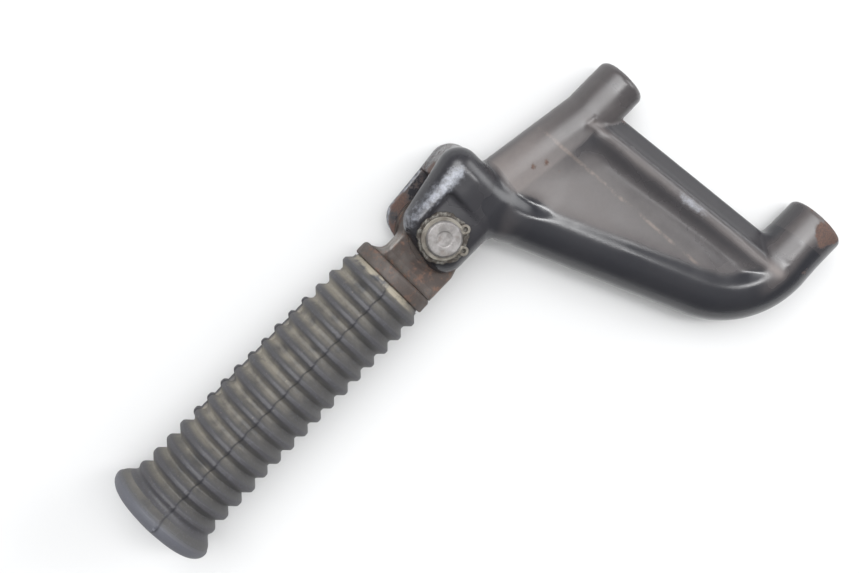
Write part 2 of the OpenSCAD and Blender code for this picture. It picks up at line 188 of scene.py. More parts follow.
class Solid:
    """A solid given by its distance field, which is below zero inside it, in millimetres."""

    def __init__(self, distance: Callable[[Array], Array]) -> None:
        """Keeps the field, a function from points to distances."""
        self.distance = distance

    def __call__(self, points: Array) -> Array:
        """The distances at some points."""
        return self.distance(points)

    def join(self, other: "Solid", blend: float = 0.0) -> "Solid":
        """Both solids together, with a fillet between them."""
        return Solid(lambda p: smooth_min(self(p), other(p), blend))

    def cut(self, other: "Solid", blend: float = 0.0) -> "Solid":
        """This solid without the other one, with the new edge rounded."""
        return Solid(lambda p: -smooth_min(-self(p), other(p), blend))

    def grown(self, extra: float) -> "Solid":
        """This solid with its surface moved outward."""
        return Solid(lambda p: self(p) - extra)


def capsule(a: Array, b: Array, radius_a: float, radius_b: float) -> Solid:
    """A round bar with ball ends.

    Args:
        a: The centre of the first end.
        b: The centre of the other end.
        radius_a: The radius at a.
        radius_b: The radius at b.

    Returns:
        The bar.
    """
    axis = b - a

    def distance(p: Array) -> Array:
        """Distance to the bar."""
        t = np.clip((p - a) @ axis / (axis @ axis), 0, 1)
        away = np.linalg.norm(p - (a + t[:, None] * axis), axis=1)
        return away - (radius_a + (radius_b - radius_a) * t)

    return Solid(distance)


def outline_distance(points: Array, outline: Array) -> Array:
    """Signed distance to a closed outline in the XY plane.

    Args:
        points: The points; their Z is ignored.
        outline: The outline's corners in order.

    Returns:
        The distances, below zero inside.
    """
    x, y = points[:, 0], points[:, 1]
    nearest = np.full(len(points), np.inf)
    inside = np.zeros(len(points), bool)
    for (ax, ay), (bx, by) in zip(outline, np.roll(outline, -1, axis=0)):
        ex, ey = bx - ax, by - ay
        t = np.clip(((x - ax) * ex + (y - ay) * ey) / (ex * ex + ey * ey), 0, 1)
        nearest = np.minimum(nearest, (x - ax - t * ex) ** 2 + (y - ay - t * ey) ** 2)
        crosses = (ay > y) != (by > y)
        slope = ex / ey if ey else 0.0
        inside ^= crosses & (x < ax + (y - ay) * slope)
    return np.where(inside, -1, 1) * np.sqrt(nearest)


def prism(outline: Sequence[Sequence[float]], low: float, high: float, rounding: float) -> Solid:
    """An upright plate with an outline and round edges.

    Args:
        outline: The outline's corners in XY, before the rounding is added round them.
        low: The lower face's height.
        high: The upper face's height.
        rounding: The radius of all its edges and corners.

    Returns:
        The plate.
    """
    corners = np.array([point[:2] for point in outline], float)
    middle, half = (low + high) / 2, (high - low) / 2 - rounding

    def distance(p: Array) -> Array:
        """Distance to the plate."""
        side = outline_distance(p, corners)
        return round_edge(side, np.abs(p[:, 2] - middle) - half, rounding)

    return Solid(distance)


def drum(centre: Array, axis: int, radius: float, low: float, high: float, rounding: float = 0.0) -> Solid:
    """A round bar along one of the frame's axes, with flat ends.

    Args:
        centre: A point on its axis.
        axis: 0, 1 or 2 for X, Y or Z.
        radius: Its radius.
        low: Where it starts along the axis.
        high: Where it ends along the axis.
        rounding: The radius of the edges of its ends.

    Returns:
        The bar.
    """
    across = [i for i in range(3) if i != axis]
    middle, half = (low + high) / 2, (high - low) / 2

    def distance(p: Array) -> Array:
        """Distance to the bar."""
        away = np.hypot(*(p[:, i] - centre[i] for i in across)) - radius + rounding
        return round_edge(away, np.abs(p[:, axis] - middle) - half + rounding, rounding)

    return Solid(distance)


def bow(centre: Array, radius: float, start: float, end: float, thickness: float) -> Solid:
    """A round bar bent to an arc in the XY plane.

    Args:
        centre: The arc's centre.
        radius: The arc's radius.
        start: The angle where it starts, in radians.
        end: The angle where it ends, which may lie before the start.
        thickness: The bar's radius.

    Returns:
        The bar.
    """
    middle, half = (start + end) / 2, abs(end - start) / 2

    def distance(p: Array) -> Array:
        """Distance to the bar."""
        off = p - centre
        turn = wrapped(np.arctan2(off[:, 1], off[:, 0]) - middle)
        angle = middle + np.clip(turn, -half, half)
        nearest = np.stack([radius * np.cos(angle), radius * np.sin(angle), np.zeros(len(p))], 1)
        return np.linalg.norm(off - nearest, axis=1) - thickness

    return Solid(distance)


@dataclass(frozen=True)
class Mesher:
    """Turns a distance field into an even mesh of quads.

    The mesh has one vertex in each cell that the surface crosses, drawn onto the surface.
    """

    step: float
    passes: int = 4
    layers: int = 12
    margin: int = 2
    least_slope: float = 0.2
    stride: float = 0.5

    def mesh(self, solid: Solid, low: Sequence[float], high: Sequence[float]) -> tuple[Array, Array]:
        """Meshes the solid inside a box.

        Args:
            solid: What is meshed.
            low: The box's lowest corner.
            high: The box's highest corner.

        Returns:
            The vertices, and the quads as rows of four vertex numbers.
        """
        origin = np.array(low, float) - self.margin * self.step
        count = np.ceil((np.array(high) + self.margin * self.step - origin) / self.step).astype(int) + 1
        axes = [origin[i] + self.step * np.arange(count[i]) for i in range(3)]
        layers = [solid(np.stack(np.meshgrid(x, axes[1], axes[2], indexing="ij"), -1).reshape(-1, 3))
                  for x in np.array_split(axes[0], self.layers)]
        values = np.concatenate(layers).reshape(count)
        cells, places = self._cells(values)
        vertices = origin + self.step * places
        for _ in range(self.passes):
            vertices = self._draw(solid, vertices)
        return vertices, self._quads(values < 0, cells)

    def _cells(self, values: Array) -> tuple[Array, Array]:
        """Puts one vertex into each crossed cell.

        Args:
            values: The field on the grid.

        Returns:
            The number of each cell's vertex, -1 where it has none, and the vertices in steps.
        """
        shape = tuple(n - 1 for n in values.shape)
        total = np.zeros(shape + (3,))
        hits = np.zeros(shape)
        for axis in range(3):
            others = [i for i in range(3) if i != axis]
            for side in range(4):
                shift = [0, 0, 0]
                shift[others[0]], shift[others[1]] = side & 1, side >> 1
                start = tuple(slice(s, s + n) for s, n in zip(shift, shape))
                shift[axis] = 1
                end = tuple(slice(s, s + n) for s, n in zip(shift, shape))
                a, b = values[start], values[end]
                crossed = (a < 0) != (b < 0)
                part = np.divide(a, a - b, out=np.zeros(shape), where=crossed)
                for i, bit in zip(others, (side & 1, side >> 1)):
                    total[..., i] += crossed * bit
                total[..., axis] += crossed * part
                hits += crossed
        used = hits > 0
        cells = np.full(shape, -1)
        cells[used] = np.arange(used.sum())
        return cells, np.argwhere(used) + total[used] / hits[used][:, None]

    def _quads(self, inside: Array, cells: Array) -> Array:
        """Joins the four cells round each crossed grid edge into a quad that faces outward.

        Args:
            inside: Which grid points are inside the solid.
            cells: The number of each cell's vertex.

        Returns:
            The quads.
        """
        quads = []
        for axis in range(3):
            u, v = (axis + 1) % 3, (axis + 2) % 3
            ends = [slice(None)] * 3, [slice(None)] * 3
            ends[0][axis], ends[1][axis] = slice(None, -1), slice(1, None)
            a, b = inside[tuple(ends[0])], inside[tuple(ends[1])]
            for rising in (False, True):
                edge = np.argwhere((b & ~a) if rising else (a & ~b))
                inner = (edge[:, u] > 0) & (edge[:, v] > 0)
                inner &= (edge[:, u] < cells.shape[u]) & (edge[:, v] < cells.shape[v])
                edge = edge[inner]
                ring = []
                for du, dv in ((1, 1), (0, 1), (0, 0), (1, 0)):
                    cell = edge.copy()
                    cell[:, u] -= du
                    cell[:, v] -= dv
                    ring.append(cells[tuple(cell.T)])
                quads.append(np.stack(ring[::-1] if rising else ring, 1))
        return np.concatenate(quads)

    def _draw(self, solid: Solid, vertices: Array) -> Array:
        """Moves the vertices toward the surface, by less than a cell.

        Args:
            solid: The solid.
            vertices: The vertices.

        Returns:
            The moved vertices.
        """
        here = solid(vertices)
        slope = gradient(solid, vertices)
        steep = np.maximum((slope * slope).sum(1), self.least_slope)
        move = -slope * (here / steep)[:, None]
        length = np.linalg.norm(move, axis=1)
        keep = np.minimum(1, self.stride * self.step / np.maximum(length, TINY))
        return vertices + move * keep[:, None]


def gradient(solid: Solid, points: Array, reach: float = 0.02) -> Array:
    """The field's slope at some points."""
    slope = [solid(points + reach * e) - solid(points - reach * e) for e in np.eye(3)]
    return np.stack(slope, 1) / (2 * reach)


def curvature(solid: Solid, points: Array, reach: float) -> Array:
    """How the surface bends, in 1/mm: above zero on a ridge and below zero in a hollow."""
    around = sum(solid(points + reach * e) + solid(points - reach * e) for e in np.eye(3))
    return (around - 6 * solid(points)) / reach**2


# Meshes


@dataclass
class Shape:
    """A mesh in the making: its vertices in millimetres, its faces and its painted values."""

    vertices: Array
    faces: Any
    marks: dict[str, Array]

    def piece(self, name: str, sharp: float = SHARP_ANGLE) -> bpy.types.Object:
        """Makes the Blender object.

        Args:
            name: The piece's name.
            sharp: The angle in degrees above which an edge stays sharp.

        Returns:
            The object, smooth shaded.
        """
        mesh = bpy.data.meshes.new(name)
        faces = [tuple(int(i) for i in face) for face in self.faces]
        mesh.from_pydata((self.vertices * MM).tolist(), [], faces)
        for mark, values in self.marks.items():
            attribute = mesh.attributes.new(mark, "FLOAT", "POINT")
            attribute.data.foreach_set("value", np.asarray(values, np.float32))
        mesh.polygons.foreach_set("use_smooth", [True] * len(mesh.polygons))
        mesh.set_sharp_from_angle(angle=math.radians(sharp))
        mesh.validate()
        piece = bpy.data.objects.new(name, mesh)
        bpy.context.scene.collection.objects.link(piece)
        return piece


def sliced(piece: bpy.types.Object, point: Sequence[float], normal: Sequence[float]) -> None:
    """Cuts a piece at a plane, drops what lies on the normal's side and closes the cut.

    Args:
        piece: The object.
        point: A point on the plane, in millimetres.
        normal: The plane's normal.
    """
    mesh = piece.data
    work = bmesh.new()
    work.from_mesh(mesh)
    cut = bmesh.ops.bisect_plane(
        work, geom=work.verts[:] + work.edges[:] + work.faces[:], dist=1e-7,
        plane_co=Vector(point) * MM, plane_no=Vector(normal), clear_outer=True)
    rim = [e for e in cut["geom_cut"] if isinstance(e, bmesh.types.BMEdge) and e.is_boundary]
    bmesh.ops.triangle_fill(work, edges=rim, normal=Vector(normal), use_beauty=True)
    bmesh.ops.recalc_face_normals(work, faces=work.faces[:])
    work.to_mesh(mesh)
    work.free()
    mesh.set_sharp_from_angle(angle=math.radians(SHARP_ANGLE))


def finish_piece(piece: bpy.types.Object, material: Material, body: Body, slot: Slot,
                 *nodes: str) -> None:
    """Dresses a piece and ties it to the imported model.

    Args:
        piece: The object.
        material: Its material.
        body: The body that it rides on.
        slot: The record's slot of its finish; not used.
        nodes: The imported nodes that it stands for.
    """
    piece.data.materials.append(material)
    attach(piece, body.value)
    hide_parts(*nodes)
    log.info("%s: %d vertices, stands for %s", piece.name, len(piece.data.vertices), ", ".join(nodes))


# Turned shapes


def rounded(corners: Sequence[Triple], closed: bool, steps: int = 6) -> Array:
    """A profile whose corners are rounded.

    Args:
        corners: Each corner's radius from the axis, its place along it and its rounding.
        closed: Whether the last corner joins the first.
        steps: How many segments a rounding has.

    Returns:
        The profile's points, as rows of radius and place.
    """
    count = len(corners)
    points: list[Array] = []
    for i, (radius, along, rounding) in enumerate(corners):
        corner = np.array([radius, along], float)
        if rounding <= 0 or (not closed and i in (0, count - 1)):
            points.append(corner)
            continue
        back = np.array(corners[i - 1][:2], float) - corner
        ahead = np.array(corners[(i + 1) % count][:2], float) - corner
        back, ahead = back / np.linalg.norm(back), ahead / np.linalg.norm(ahead)
        half = math.acos(float(np.clip(back @ ahead, -1, 1))) / 2
        centre = corner + (back + ahead) / np.linalg.norm(back + ahead) * rounding / math.sin(half)
        start = corner + back * rounding / math.tan(half) - centre
        end = corner + ahead * rounding / math.tan(half) - centre
        turn = math.atan2(start[0] * end[1] - start[1] * end[0], start @ end)
        for step in range(steps + 1):
            a = turn * step / steps
            points.append(centre + np.array([start[0] * math.cos(a) - start[1] * math.sin(a),
                                             start[0] * math.sin(a) + start[1] * math.cos(a)]))
    return np.array(points)


def refined(profile: Array, longest: float) -> Array:
    """A profile with extra points, so that no step is longer than the given length."""
    points = [profile[:1]]
    for a, b in zip(profile, profile[1:]):
        pieces = max(1, math.ceil(float(np.linalg.norm(b - a)) / longest))
        points.append(a + (b - a) * np.arange(1, pieces + 1)[:, None] / pieces)
    return np.concatenate(points)


@dataclass(frozen=True)
class Axis:
    """Where a turned piece stands: a point, the direction of its axis and of its zero angle."""

    origin: Array
    along: Array
    zero: Array

    def place(self, radius: Array, angle: Array, along: Array) -> Array:
        """Points in the frame, in millimetres.

        Args:
            radius: Distances from the axis.
            angle: Angles from the zero direction, in radians.
            along: Distances along the axis.

        Returns:
            One row for each point.
        """
        side = np.cross(self.along, self.zero)
        spoke = np.cos(angle)[:, None] * self.zero + np.sin(angle)[:, None] * side
        return self.origin + radius[:, None] * spoke + along[:, None] * self.along


X, Y, Z = np.eye(3)


def even_angles(count: int) -> Array:
    """Angles evenly round a circle, in radians."""
    return np.arange(count) * math.tau / count


@dataclass(frozen=True)
class Lathe:
    """Turns a profile round an axis, and may then press waves, threads or dents into it."""

    axis: Axis
    angles: Array

    def turn(self, profile: Array, closed: bool, warp: Callable[..., Array] | None = None) -> Shape:
        """Makes the surface.

        Args:
            profile: Rows of radius and place. An open one starts and ends on the axis.
            closed: Whether the profile is a ring, as a washer's is.
            warp: Gives each point's new radius from its radius, angle and place.

        Returns:
            The shape, with a mark named radius.
        """
        following = np.roll(profile, -1, axis=0)
        if (profile[:, 0] * following[:, 1] - profile[:, 1] * following[:, 0]).sum() < 0:
            profile = profile[::-1]
        rows, turns = len(profile), len(self.angles)
        first, last = (0, rows) if closed else (1, rows - 1)
        radius = np.repeat(profile[first:last, 0], turns)
        along = np.repeat(profile[first:last, 1], turns)
        angle = np.tile(self.angles, last - first)
        if warp is not None:
            radius = warp(radius, angle, along)
        vertices = self.axis.place(radius, angle, along)
        ring = np.arange(turns)
        after = (ring + 1) % turns
        bands = last - first if closed else last - first - 1
        faces: list[Sequence[int]] = []
        for row in range(bands):
            a, b = row * turns, ((row + 1) % (last - first)) * turns
            faces.extend(np.stack([a + ring, a + after, b + after, b + ring], 1).tolist())
        marks = {"radius": radius}
        if not closed:
            ends = self.axis.place(np.zeros(2), np.zeros(2), profile[[0, -1], 1])
            near, far = len(vertices), len(vertices) + 1
            vertices = np.concatenate([vertices, ends])
            marks["radius"] = np.concatenate([radius, [0, 0]])
            b = (last - first - 1) * turns
            faces.extend([near, int(j), int(i)] for i, j in zip(ring, after))
            faces.extend([b + int(i), b + int(j), far] for i, j in zip(ring, after))
        return Shape(vertices, faces, marks)


# Shader graphs


def srgb(red: int, green: int, blue: int) -> Colour:
    """A colour written in 0 to 255, as the linear colour that a shader needs."""
    channels = (c / 255 for c in (red, green, blue))
    return tuple(c / 12.92 if c <= 0.04045 else ((c + 0.055) / 1.055) ** 2.4 for c in channels)


class Value:
    """A number that a shader works out. Python's operators on it add Math nodes."""

    def __init__(self, graph: "Graph", socket: bpy.types.NodeSocket) -> None:
        """Wraps an output socket of the graph."""
        self.graph = graph
        self.socket = socket

    def _math(self, operation: str, a: Any, b: Any) -> "Value":
        """Adds a Math node on two operands."""
        return self.graph.node("ShaderNodeMath", {"operation": operation}, {0: a, 1: b})

    def __add__(self, other: Any) -> "Value":
        """self + other."""
        return self._math("ADD", self, other)

    def __radd__(self, other: Any) -> "Value":
        """other + self."""
        return self._math("ADD", other, self)

    def __sub__(self, other: Any) -> "Value":
        """self - other."""
        return self._math("SUBTRACT", self, other)

    def __rsub__(self, other: Any) -> "Value":
        """other - self."""
        return self._math("SUBTRACT", other, self)

    def __mul__(self, other: Any) -> "Value":
        """self * other."""
        return self._math("MULTIPLY", self, other)

    def __rmul__(self, other: Any) -> "Value":
        """other * self."""
        return self._math("MULTIPLY", other, self)

    def __abs__(self) -> "Value":
        """The size of self."""
        return self._math("ABSOLUTE", self, 0.0)

    def most(self, other: Any) -> "Value":
        """The greater of the two."""
        return self._math("MAXIMUM", self, other)

    def between(self, low: float, high: float) -> "Value":
        """A soft ramp: 0 where self is at low, 1 where it is at high."""
        return self.graph.node("ShaderNodeMapRange", {"interpolation_type": "SMOOTHSTEP"},
                               {"Value": self, "From Min": low, "From Max": high})


class Graph:
    """The node tree of one material, or of the world."""

    def __init__(self, tree: bpy.types.NodeTree) -> None:
        """Takes a tree and empties it."""
        self.tree = tree
        tree.nodes.clear()

    def node(self, kind: str, settings: dict[str, Any], inputs: dict[Any, Any], output: Any = 0) -> Value:
        """Adds a node.

        Args:
            kind: The node's type.
            settings: Its settings, set first.
            inputs: Values or links of its sockets, by name or number.
            output: Which of its outputs is wanted.

        Returns:
            That output.
        """
        made = self.tree.nodes.new(kind)
        for name, value in settings.items():
            setattr(made, name, value)
        for key, value in inputs.items():
            self.feed(made.inputs[key], value)
        return Value(self, made.outputs[output]) if made.outputs else Value(self, made.inputs[0])

    def feed(self, socket: bpy.types.NodeSocket, value: Any) -> None:
        """Links or sets one input socket.

        Args:
            socket: The input.
            value: Another node's output, a number, a colour or a vector.
        """
        if isinstance(value, Value):
            self.tree.links.new(value.socket, socket)
        elif socket.type == "RGBA":
            socket.default_value = (*value, 1.0)
        else:
            socket.default_value = value

    def place(self) -> Value:
        """The point in the piece's own frame, in millimetres."""
        metres = self.node("ShaderNodeTexCoord", {}, {}, "Object")
        return self.node("ShaderNodeVectorMath", {"operation": "SCALE"}, {0: metres, "Scale": 1 / MM})

    def stretched(self, vector: Value, factors: Colour) -> Value:
        """A vector with each of its parts multiplied."""
        return self.node("ShaderNodeVectorMath", {"operation": "MULTIPLY"}, {0: vector, 1: factors})

    def part(self, vector: Value, name: str) -> Value:
        """One part of a vector, by its letter."""
        return self.node("ShaderNodeSeparateXYZ", {}, {0: vector}, name)

    def mark(self, name: str) -> Value:
        """A value painted on the mesh."""
        return self.node("ShaderNodeAttribute", {"attribute_name": name}, {}, "Fac")

    def noise(self, place: Value, grain: "Grain") -> Value:
        """Cloudy noise from 0 to 1, taken at a place in millimetres."""
        return self.node("ShaderNodeTexNoise", {}, {
            "Vector": place, "Scale": 1 / grain.size, "Detail": grain.detail, "Roughness": grain.roughness})

    def blend(self, factor: Any, a: Any, b: Any) -> Value:
        """A colour between a, where the factor is 0, and b, where it is 1."""
        return self.node("ShaderNodeMix", {"data_type": "RGBA"}, {0: factor, 6: a, 7: b}, 2)

    def bump(self, height: Value, depth: float) -> Value:
        """A normal bent by a height from 0 to 1, which stands for the given depth in millimetres."""
        return self.node("ShaderNodeBump", {}, {"Strength": 1.0, "Distance": depth * MM, "Height": height})


@dataclass(frozen=True)
class Grain:
    """A cloudy noise: its largest clouds in millimetres, its finer layers and how strong these are."""

    size: float
    detail: float = 3.0
    roughness: float = 0.55


class Finish:
    """What all finishes share: a new material with one Principled shader."""

    def material(self) -> Material:
        """Makes the material.

        Returns:
            The material, named after the finish.
        """
        made = bpy.data.materials.new(type(self).__name__)
        made.use_nodes = True
        graph = Graph(made.node_tree)
        inputs = self.inputs(graph)
        shader = graph.node("ShaderNodeBsdfPrincipled", {}, inputs)
        graph.node("ShaderNodeOutputMaterial", {}, {"Surface": shader})
        return made

    def inputs(self, graph: Graph) -> dict[str, Any]:
        """The Principled shader's inputs."""
        raise NotImplementedError


@dataclass(frozen=True)
class BlackEnamel(Finish):
    """Glossy black frame paint: a film of dust, dull worn edges, chips that rust. Where the marks lay them,
    the worn and dust colours also paint highlights: on the yoke's top rounding, along the ridge's crest and
    on the lower boss.
    """

    black: Colour = srgb(24, 27, 34)
    dust: Colour = srgb(141, 132, 128)
    worn: Colour = srgb(160, 163, 170)
    rust: Colour = srgb(100, 74, 62)
    dark_rust: Colour = srgb(72, 58, 54)
    scratched: Colour = srgb(158, 140, 126)
    gloss: float = 0.10
    fine: Grain = Grain(1.6, 4, 0.62)
    broad: Grain = Grain(16)
    broad_ramp: Ramp = (0.3, 0.7)
    broad_share: float = 0.18
    fine_share: float = 0.3
    wavy: float = 0.2
    flecks: Grain = Grain(2.0, 5, 0.75)
    fleck_depth: float = 1.1
    scuff_from: Ramp = (0.0, 0.2)
    scuff_ramp: Ramp = (0.12, 0.85)
    scuff_cover: float = 0.75
    chips: Grain = Grain(1.7, 5, 0.75)
    chip_depth: float = 0.9
    chip_ramp: Ramp = (0.38, 0.62)
    chip_cover: float = 0.85
    grit: Grain = Grain(0.5, 2, 0.7)
    grit_ramp: Ramp = (0.3, 0.7)
    dust_matt: float = 0.8
    scuff_matt: float = 0.25
    rust_matt: float = 0.5
    broad_matt: float = 0.10
    matt_ramp: Ramp = (0.35, 0.7)
    relief: float = 0.06
    scratch_at: float = -44.6
    scratch_middle: float = 50.0
    scratch_lean: float = -0.092
    scratch_bend: float = 1.6
    scratch_bends: Grain = Grain(12)
    scratch_edge: Ramp = (0.1, 0.9)
    scratch_gaps: Grain = Grain(6.0, 4, 0.7)
    gap_ramp: Ramp = (0.40, 0.62)
    scratch_cover: Pair = (0.06, 0.4)

    def inputs(self, graph: Graph) -> dict[str, Any]:
        """The Principled shader's inputs."""
        place, dust, wear = graph.place(), graph.mark("dust"), graph.mark("wear")
        fine, broad = graph.noise(place, self.fine), graph.noise(place, self.broad)
        grit = graph.noise(place, self.grit)
        clouds = 1.0 - self.broad_share + self.broad_share * broad.between(*self.broad_ramp)
        film = dust * clouds * (1.0 - self.fine_share / 2 + self.fine_share * fine)
        flecks = self.fleck_depth * (graph.noise(place, self.flecks) - 0.5)
        # The wear mark holds real scuffs and, on the yoke, a painted highlight; both blend toward the worn
        # colour.
        scuff = wear.between(*self.scuff_from) * (wear + flecks).between(*self.scuff_ramp)
        ragged = graph.mark("rust") + self.chip_depth * (graph.noise(place, self.chips) - 0.5)
        rusty = ragged.between(*self.chip_ramp)
        scratch = self.scratch(graph, place, fine) * dust.between(0.1, 0.3)
        colour = graph.blend(film, self.black, self.dust)
        colour = graph.blend(self.scuff_cover * scuff, colour, self.worn)
        colour = graph.blend(scratch, colour, self.scratched)
        rust = graph.blend(grit.between(*self.grit_ramp), self.rust, self.dark_rust)
        colour = graph.blend(self.chip_cover * rusty, colour, rust)
        roughness = self.gloss + self.dust_matt * film + self.scuff_matt * scuff + self.rust_matt * rusty
        roughness = roughness + self.broad_matt * broad.between(*self.matt_ramp)
        height = 0.25 * broad + self.wavy * fine + rusty * (grit - 0.9)
        return {"Base Color": colour, "Roughness": roughness, "IOR": 1.52,
                "Normal": graph.bump(height, self.relief)}

    def scratch(self, graph: Graph, place: Value, fine: Value) -> Value:
        """A long faint scratch across the flat face, broken here and there.

        Args:
            graph: The material's graph.
            place: The point in millimetres.
            fine: The fine noise.

        Returns:
            How far the scratch covers the paint.
        """
        lean = self.scratch_lean * (graph.part(place, "Y") - self.scratch_middle)
        line = graph.part(place, "X") - (self.scratch_at + lean)
        bent = line + self.scratch_bend * (graph.noise(place, self.scratch_bends) - 0.5)
        patchy = graph.noise(place, self.scratch_gaps).between(*self.gap_ramp)
        least, more = self.scratch_cover
        return (1.0 - abs(bent).between(*self.scratch_edge)) * patchy * (least + more * fine)


@dataclass(frozen=True)
class RustySteel(Finish):
    """Bare forged steel that has rusted brown, with pits and paler rubbed places."""

    brown: Colour = srgb(63, 54, 50)
    orange: Colour = srgb(112, 82, 66)
    grey: Colour = srgb(80, 74, 70)
    pale: Colour = srgb(138, 134, 130)
    dark: Colour = srgb(52, 46, 45)
    rubbed: float = 0.5
    broad: Grain = Grain(7, 4, 0.6)
    fine: Grain = Grain(1.3, 5, 0.68)
    pits: Grain = Grain(0.7, 3, 0.6)
    stains: Grain = Grain(4.5, 5, 0.62)
    grey_ramp: Ramp = (0.46, 0.68)
    grey_cover: float = 0.7
    stain_ramp: Ramp = (0.50, 0.62)
    stain_cover: float = 0.6
    pit_ramp: Ramp = (0.60, 0.74)
    pit_cover: float = 0.8
    matt: float = 0.52
    fine_matt: float = 0.25
    rubbed_shine: float = 0.12
    metallic: float = 0.1
    relief: float = 0.16

    def inputs(self, graph: Graph) -> dict[str, Any]:
        """The Principled shader's inputs."""
        place, rubbed = graph.place(), graph.mark("rubbed")
        fine, pits = graph.noise(place, self.fine), graph.noise(place, self.pits)
        greyed = graph.noise(place, self.broad).between(*self.grey_ramp)
        stained = (0.5 * fine + 0.5 * graph.noise(place, self.stains)).between(*self.stain_ramp)
        colour = graph.blend(self.grey_cover * greyed, self.brown, self.grey)
        colour = graph.blend(self.rubbed * rubbed, colour, self.pale)
        colour = graph.blend(self.stain_cover * stained, colour, self.orange)
        colour = graph.blend(self.pit_cover * pits.between(*self.pit_ramp), colour, self.dark)
        roughness = self.matt + self.fine_matt * fine - self.rubbed_shine * rubbed
        return {"Base Color": colour, "Metallic": self.metallic, "Roughness": roughness,
                "Normal": graph.bump(0.6 * fine + 0.4 * pits, self.relief)}


@dataclass(frozen=True)
class BareSteel(Finish):
    """Worn bare steel: grey, scratched, stained in its hollows."""

    bright: Colour = srgb(142, 139, 138)
    dull: Colour = srgb(112, 109, 107)
    stain: Colour = srgb(104, 94, 86)
    metallic: float = 0.7
    broad: Grain = Grain(4, 4, 0.6)
    fine: Grain = Grain(0.6, 4, 0.65)
    brushed: Grain = Grain(0.8, 4, 0.6)
    brush_stretch: Triple = (0.3, 2.0, 1.0)
    blotches: Grain = Grain(2.2, 5, 0.7)
    dull_ramp: Ramp = (0.35, 0.65)
    brush_ramp: Ramp = (0.5, 0.75)
    brush_cover: float = 0.35
    stain_ramp: Ramp = (0.52, 0.68)
    stain_cover: float = 0.5
    matt: float = 0.36
    broad_matt: float = 0.22
    fine_matt: float = 0.14
    relief: float = 0.05

    def inputs(self, graph: Graph) -> dict[str, Any]:
        """The Principled shader's inputs."""
        place = graph.place()
        broad, fine = graph.noise(place, self.broad), graph.noise(place, self.fine)
        brushed = graph.noise(graph.stretched(place, self.brush_stretch), self.brushed)
        stained = graph.noise(place, self.blotches).between(*self.stain_ramp)
        colour = graph.blend(broad.between(*self.dull_ramp), self.bright, self.dull)
        colour = graph.blend(self.brush_cover * brushed.between(*self.brush_ramp), colour, self.dull)
        colour = graph.blend(self.stain_cover * stained, colour, self.stain)
        roughness = self.matt + self.broad_matt * broad + self.fine_matt * fine
        return {"Base Color": colour, "Metallic": self.metallic, "Roughness": roughness,
                "Normal": graph.bump(0.5 * fine + 0.5 * brushed, self.relief)}


@dataclass(frozen=True)
class ZincPlate(Finish):
    """Old zinc plating: pale grey-green, with white bloom and rust coming through."""

    plate: Colour = srgb(86, 83, 79)
    bloom: Colour = srgb(106, 104, 98)
    rust: Colour = srgb(66, 60, 55)
    metallic: float = 0.5
    fine: Grain = Grain(0.8, 5, 0.7)
    pits: Grain = Grain(2.0, 5, 0.7)
    bloom_ramp: Ramp = (0.4, 0.7)
    rust_ramp: Ramp = (0.42, 0.58)
    matt: float = 0.42
    rust_matt: float = 0.3
    fine_matt: float = 0.1
    pit_depth: float = 0.8
    relief: float = 0.05

    def inputs(self, graph: Graph) -> dict[str, Any]:
        """The Principled shader's inputs."""
        place = graph.place()
        fine = graph.noise(place, self.fine)
        eaten = graph.noise(place, self.pits).between(*self.rust_ramp)
        colour = graph.blend(fine.between(*self.bloom_ramp), self.plate, self.bloom)
        colour = graph.blend(eaten, colour, self.rust)
        roughness = self.matt + self.rust_matt * eaten + self.fine_matt * fine
        return {"Base Color": colour, "Metallic": self.metallic, "Roughness": roughness,
                "Normal": graph.bump(fine - self.pit_depth * eaten, self.relief)}


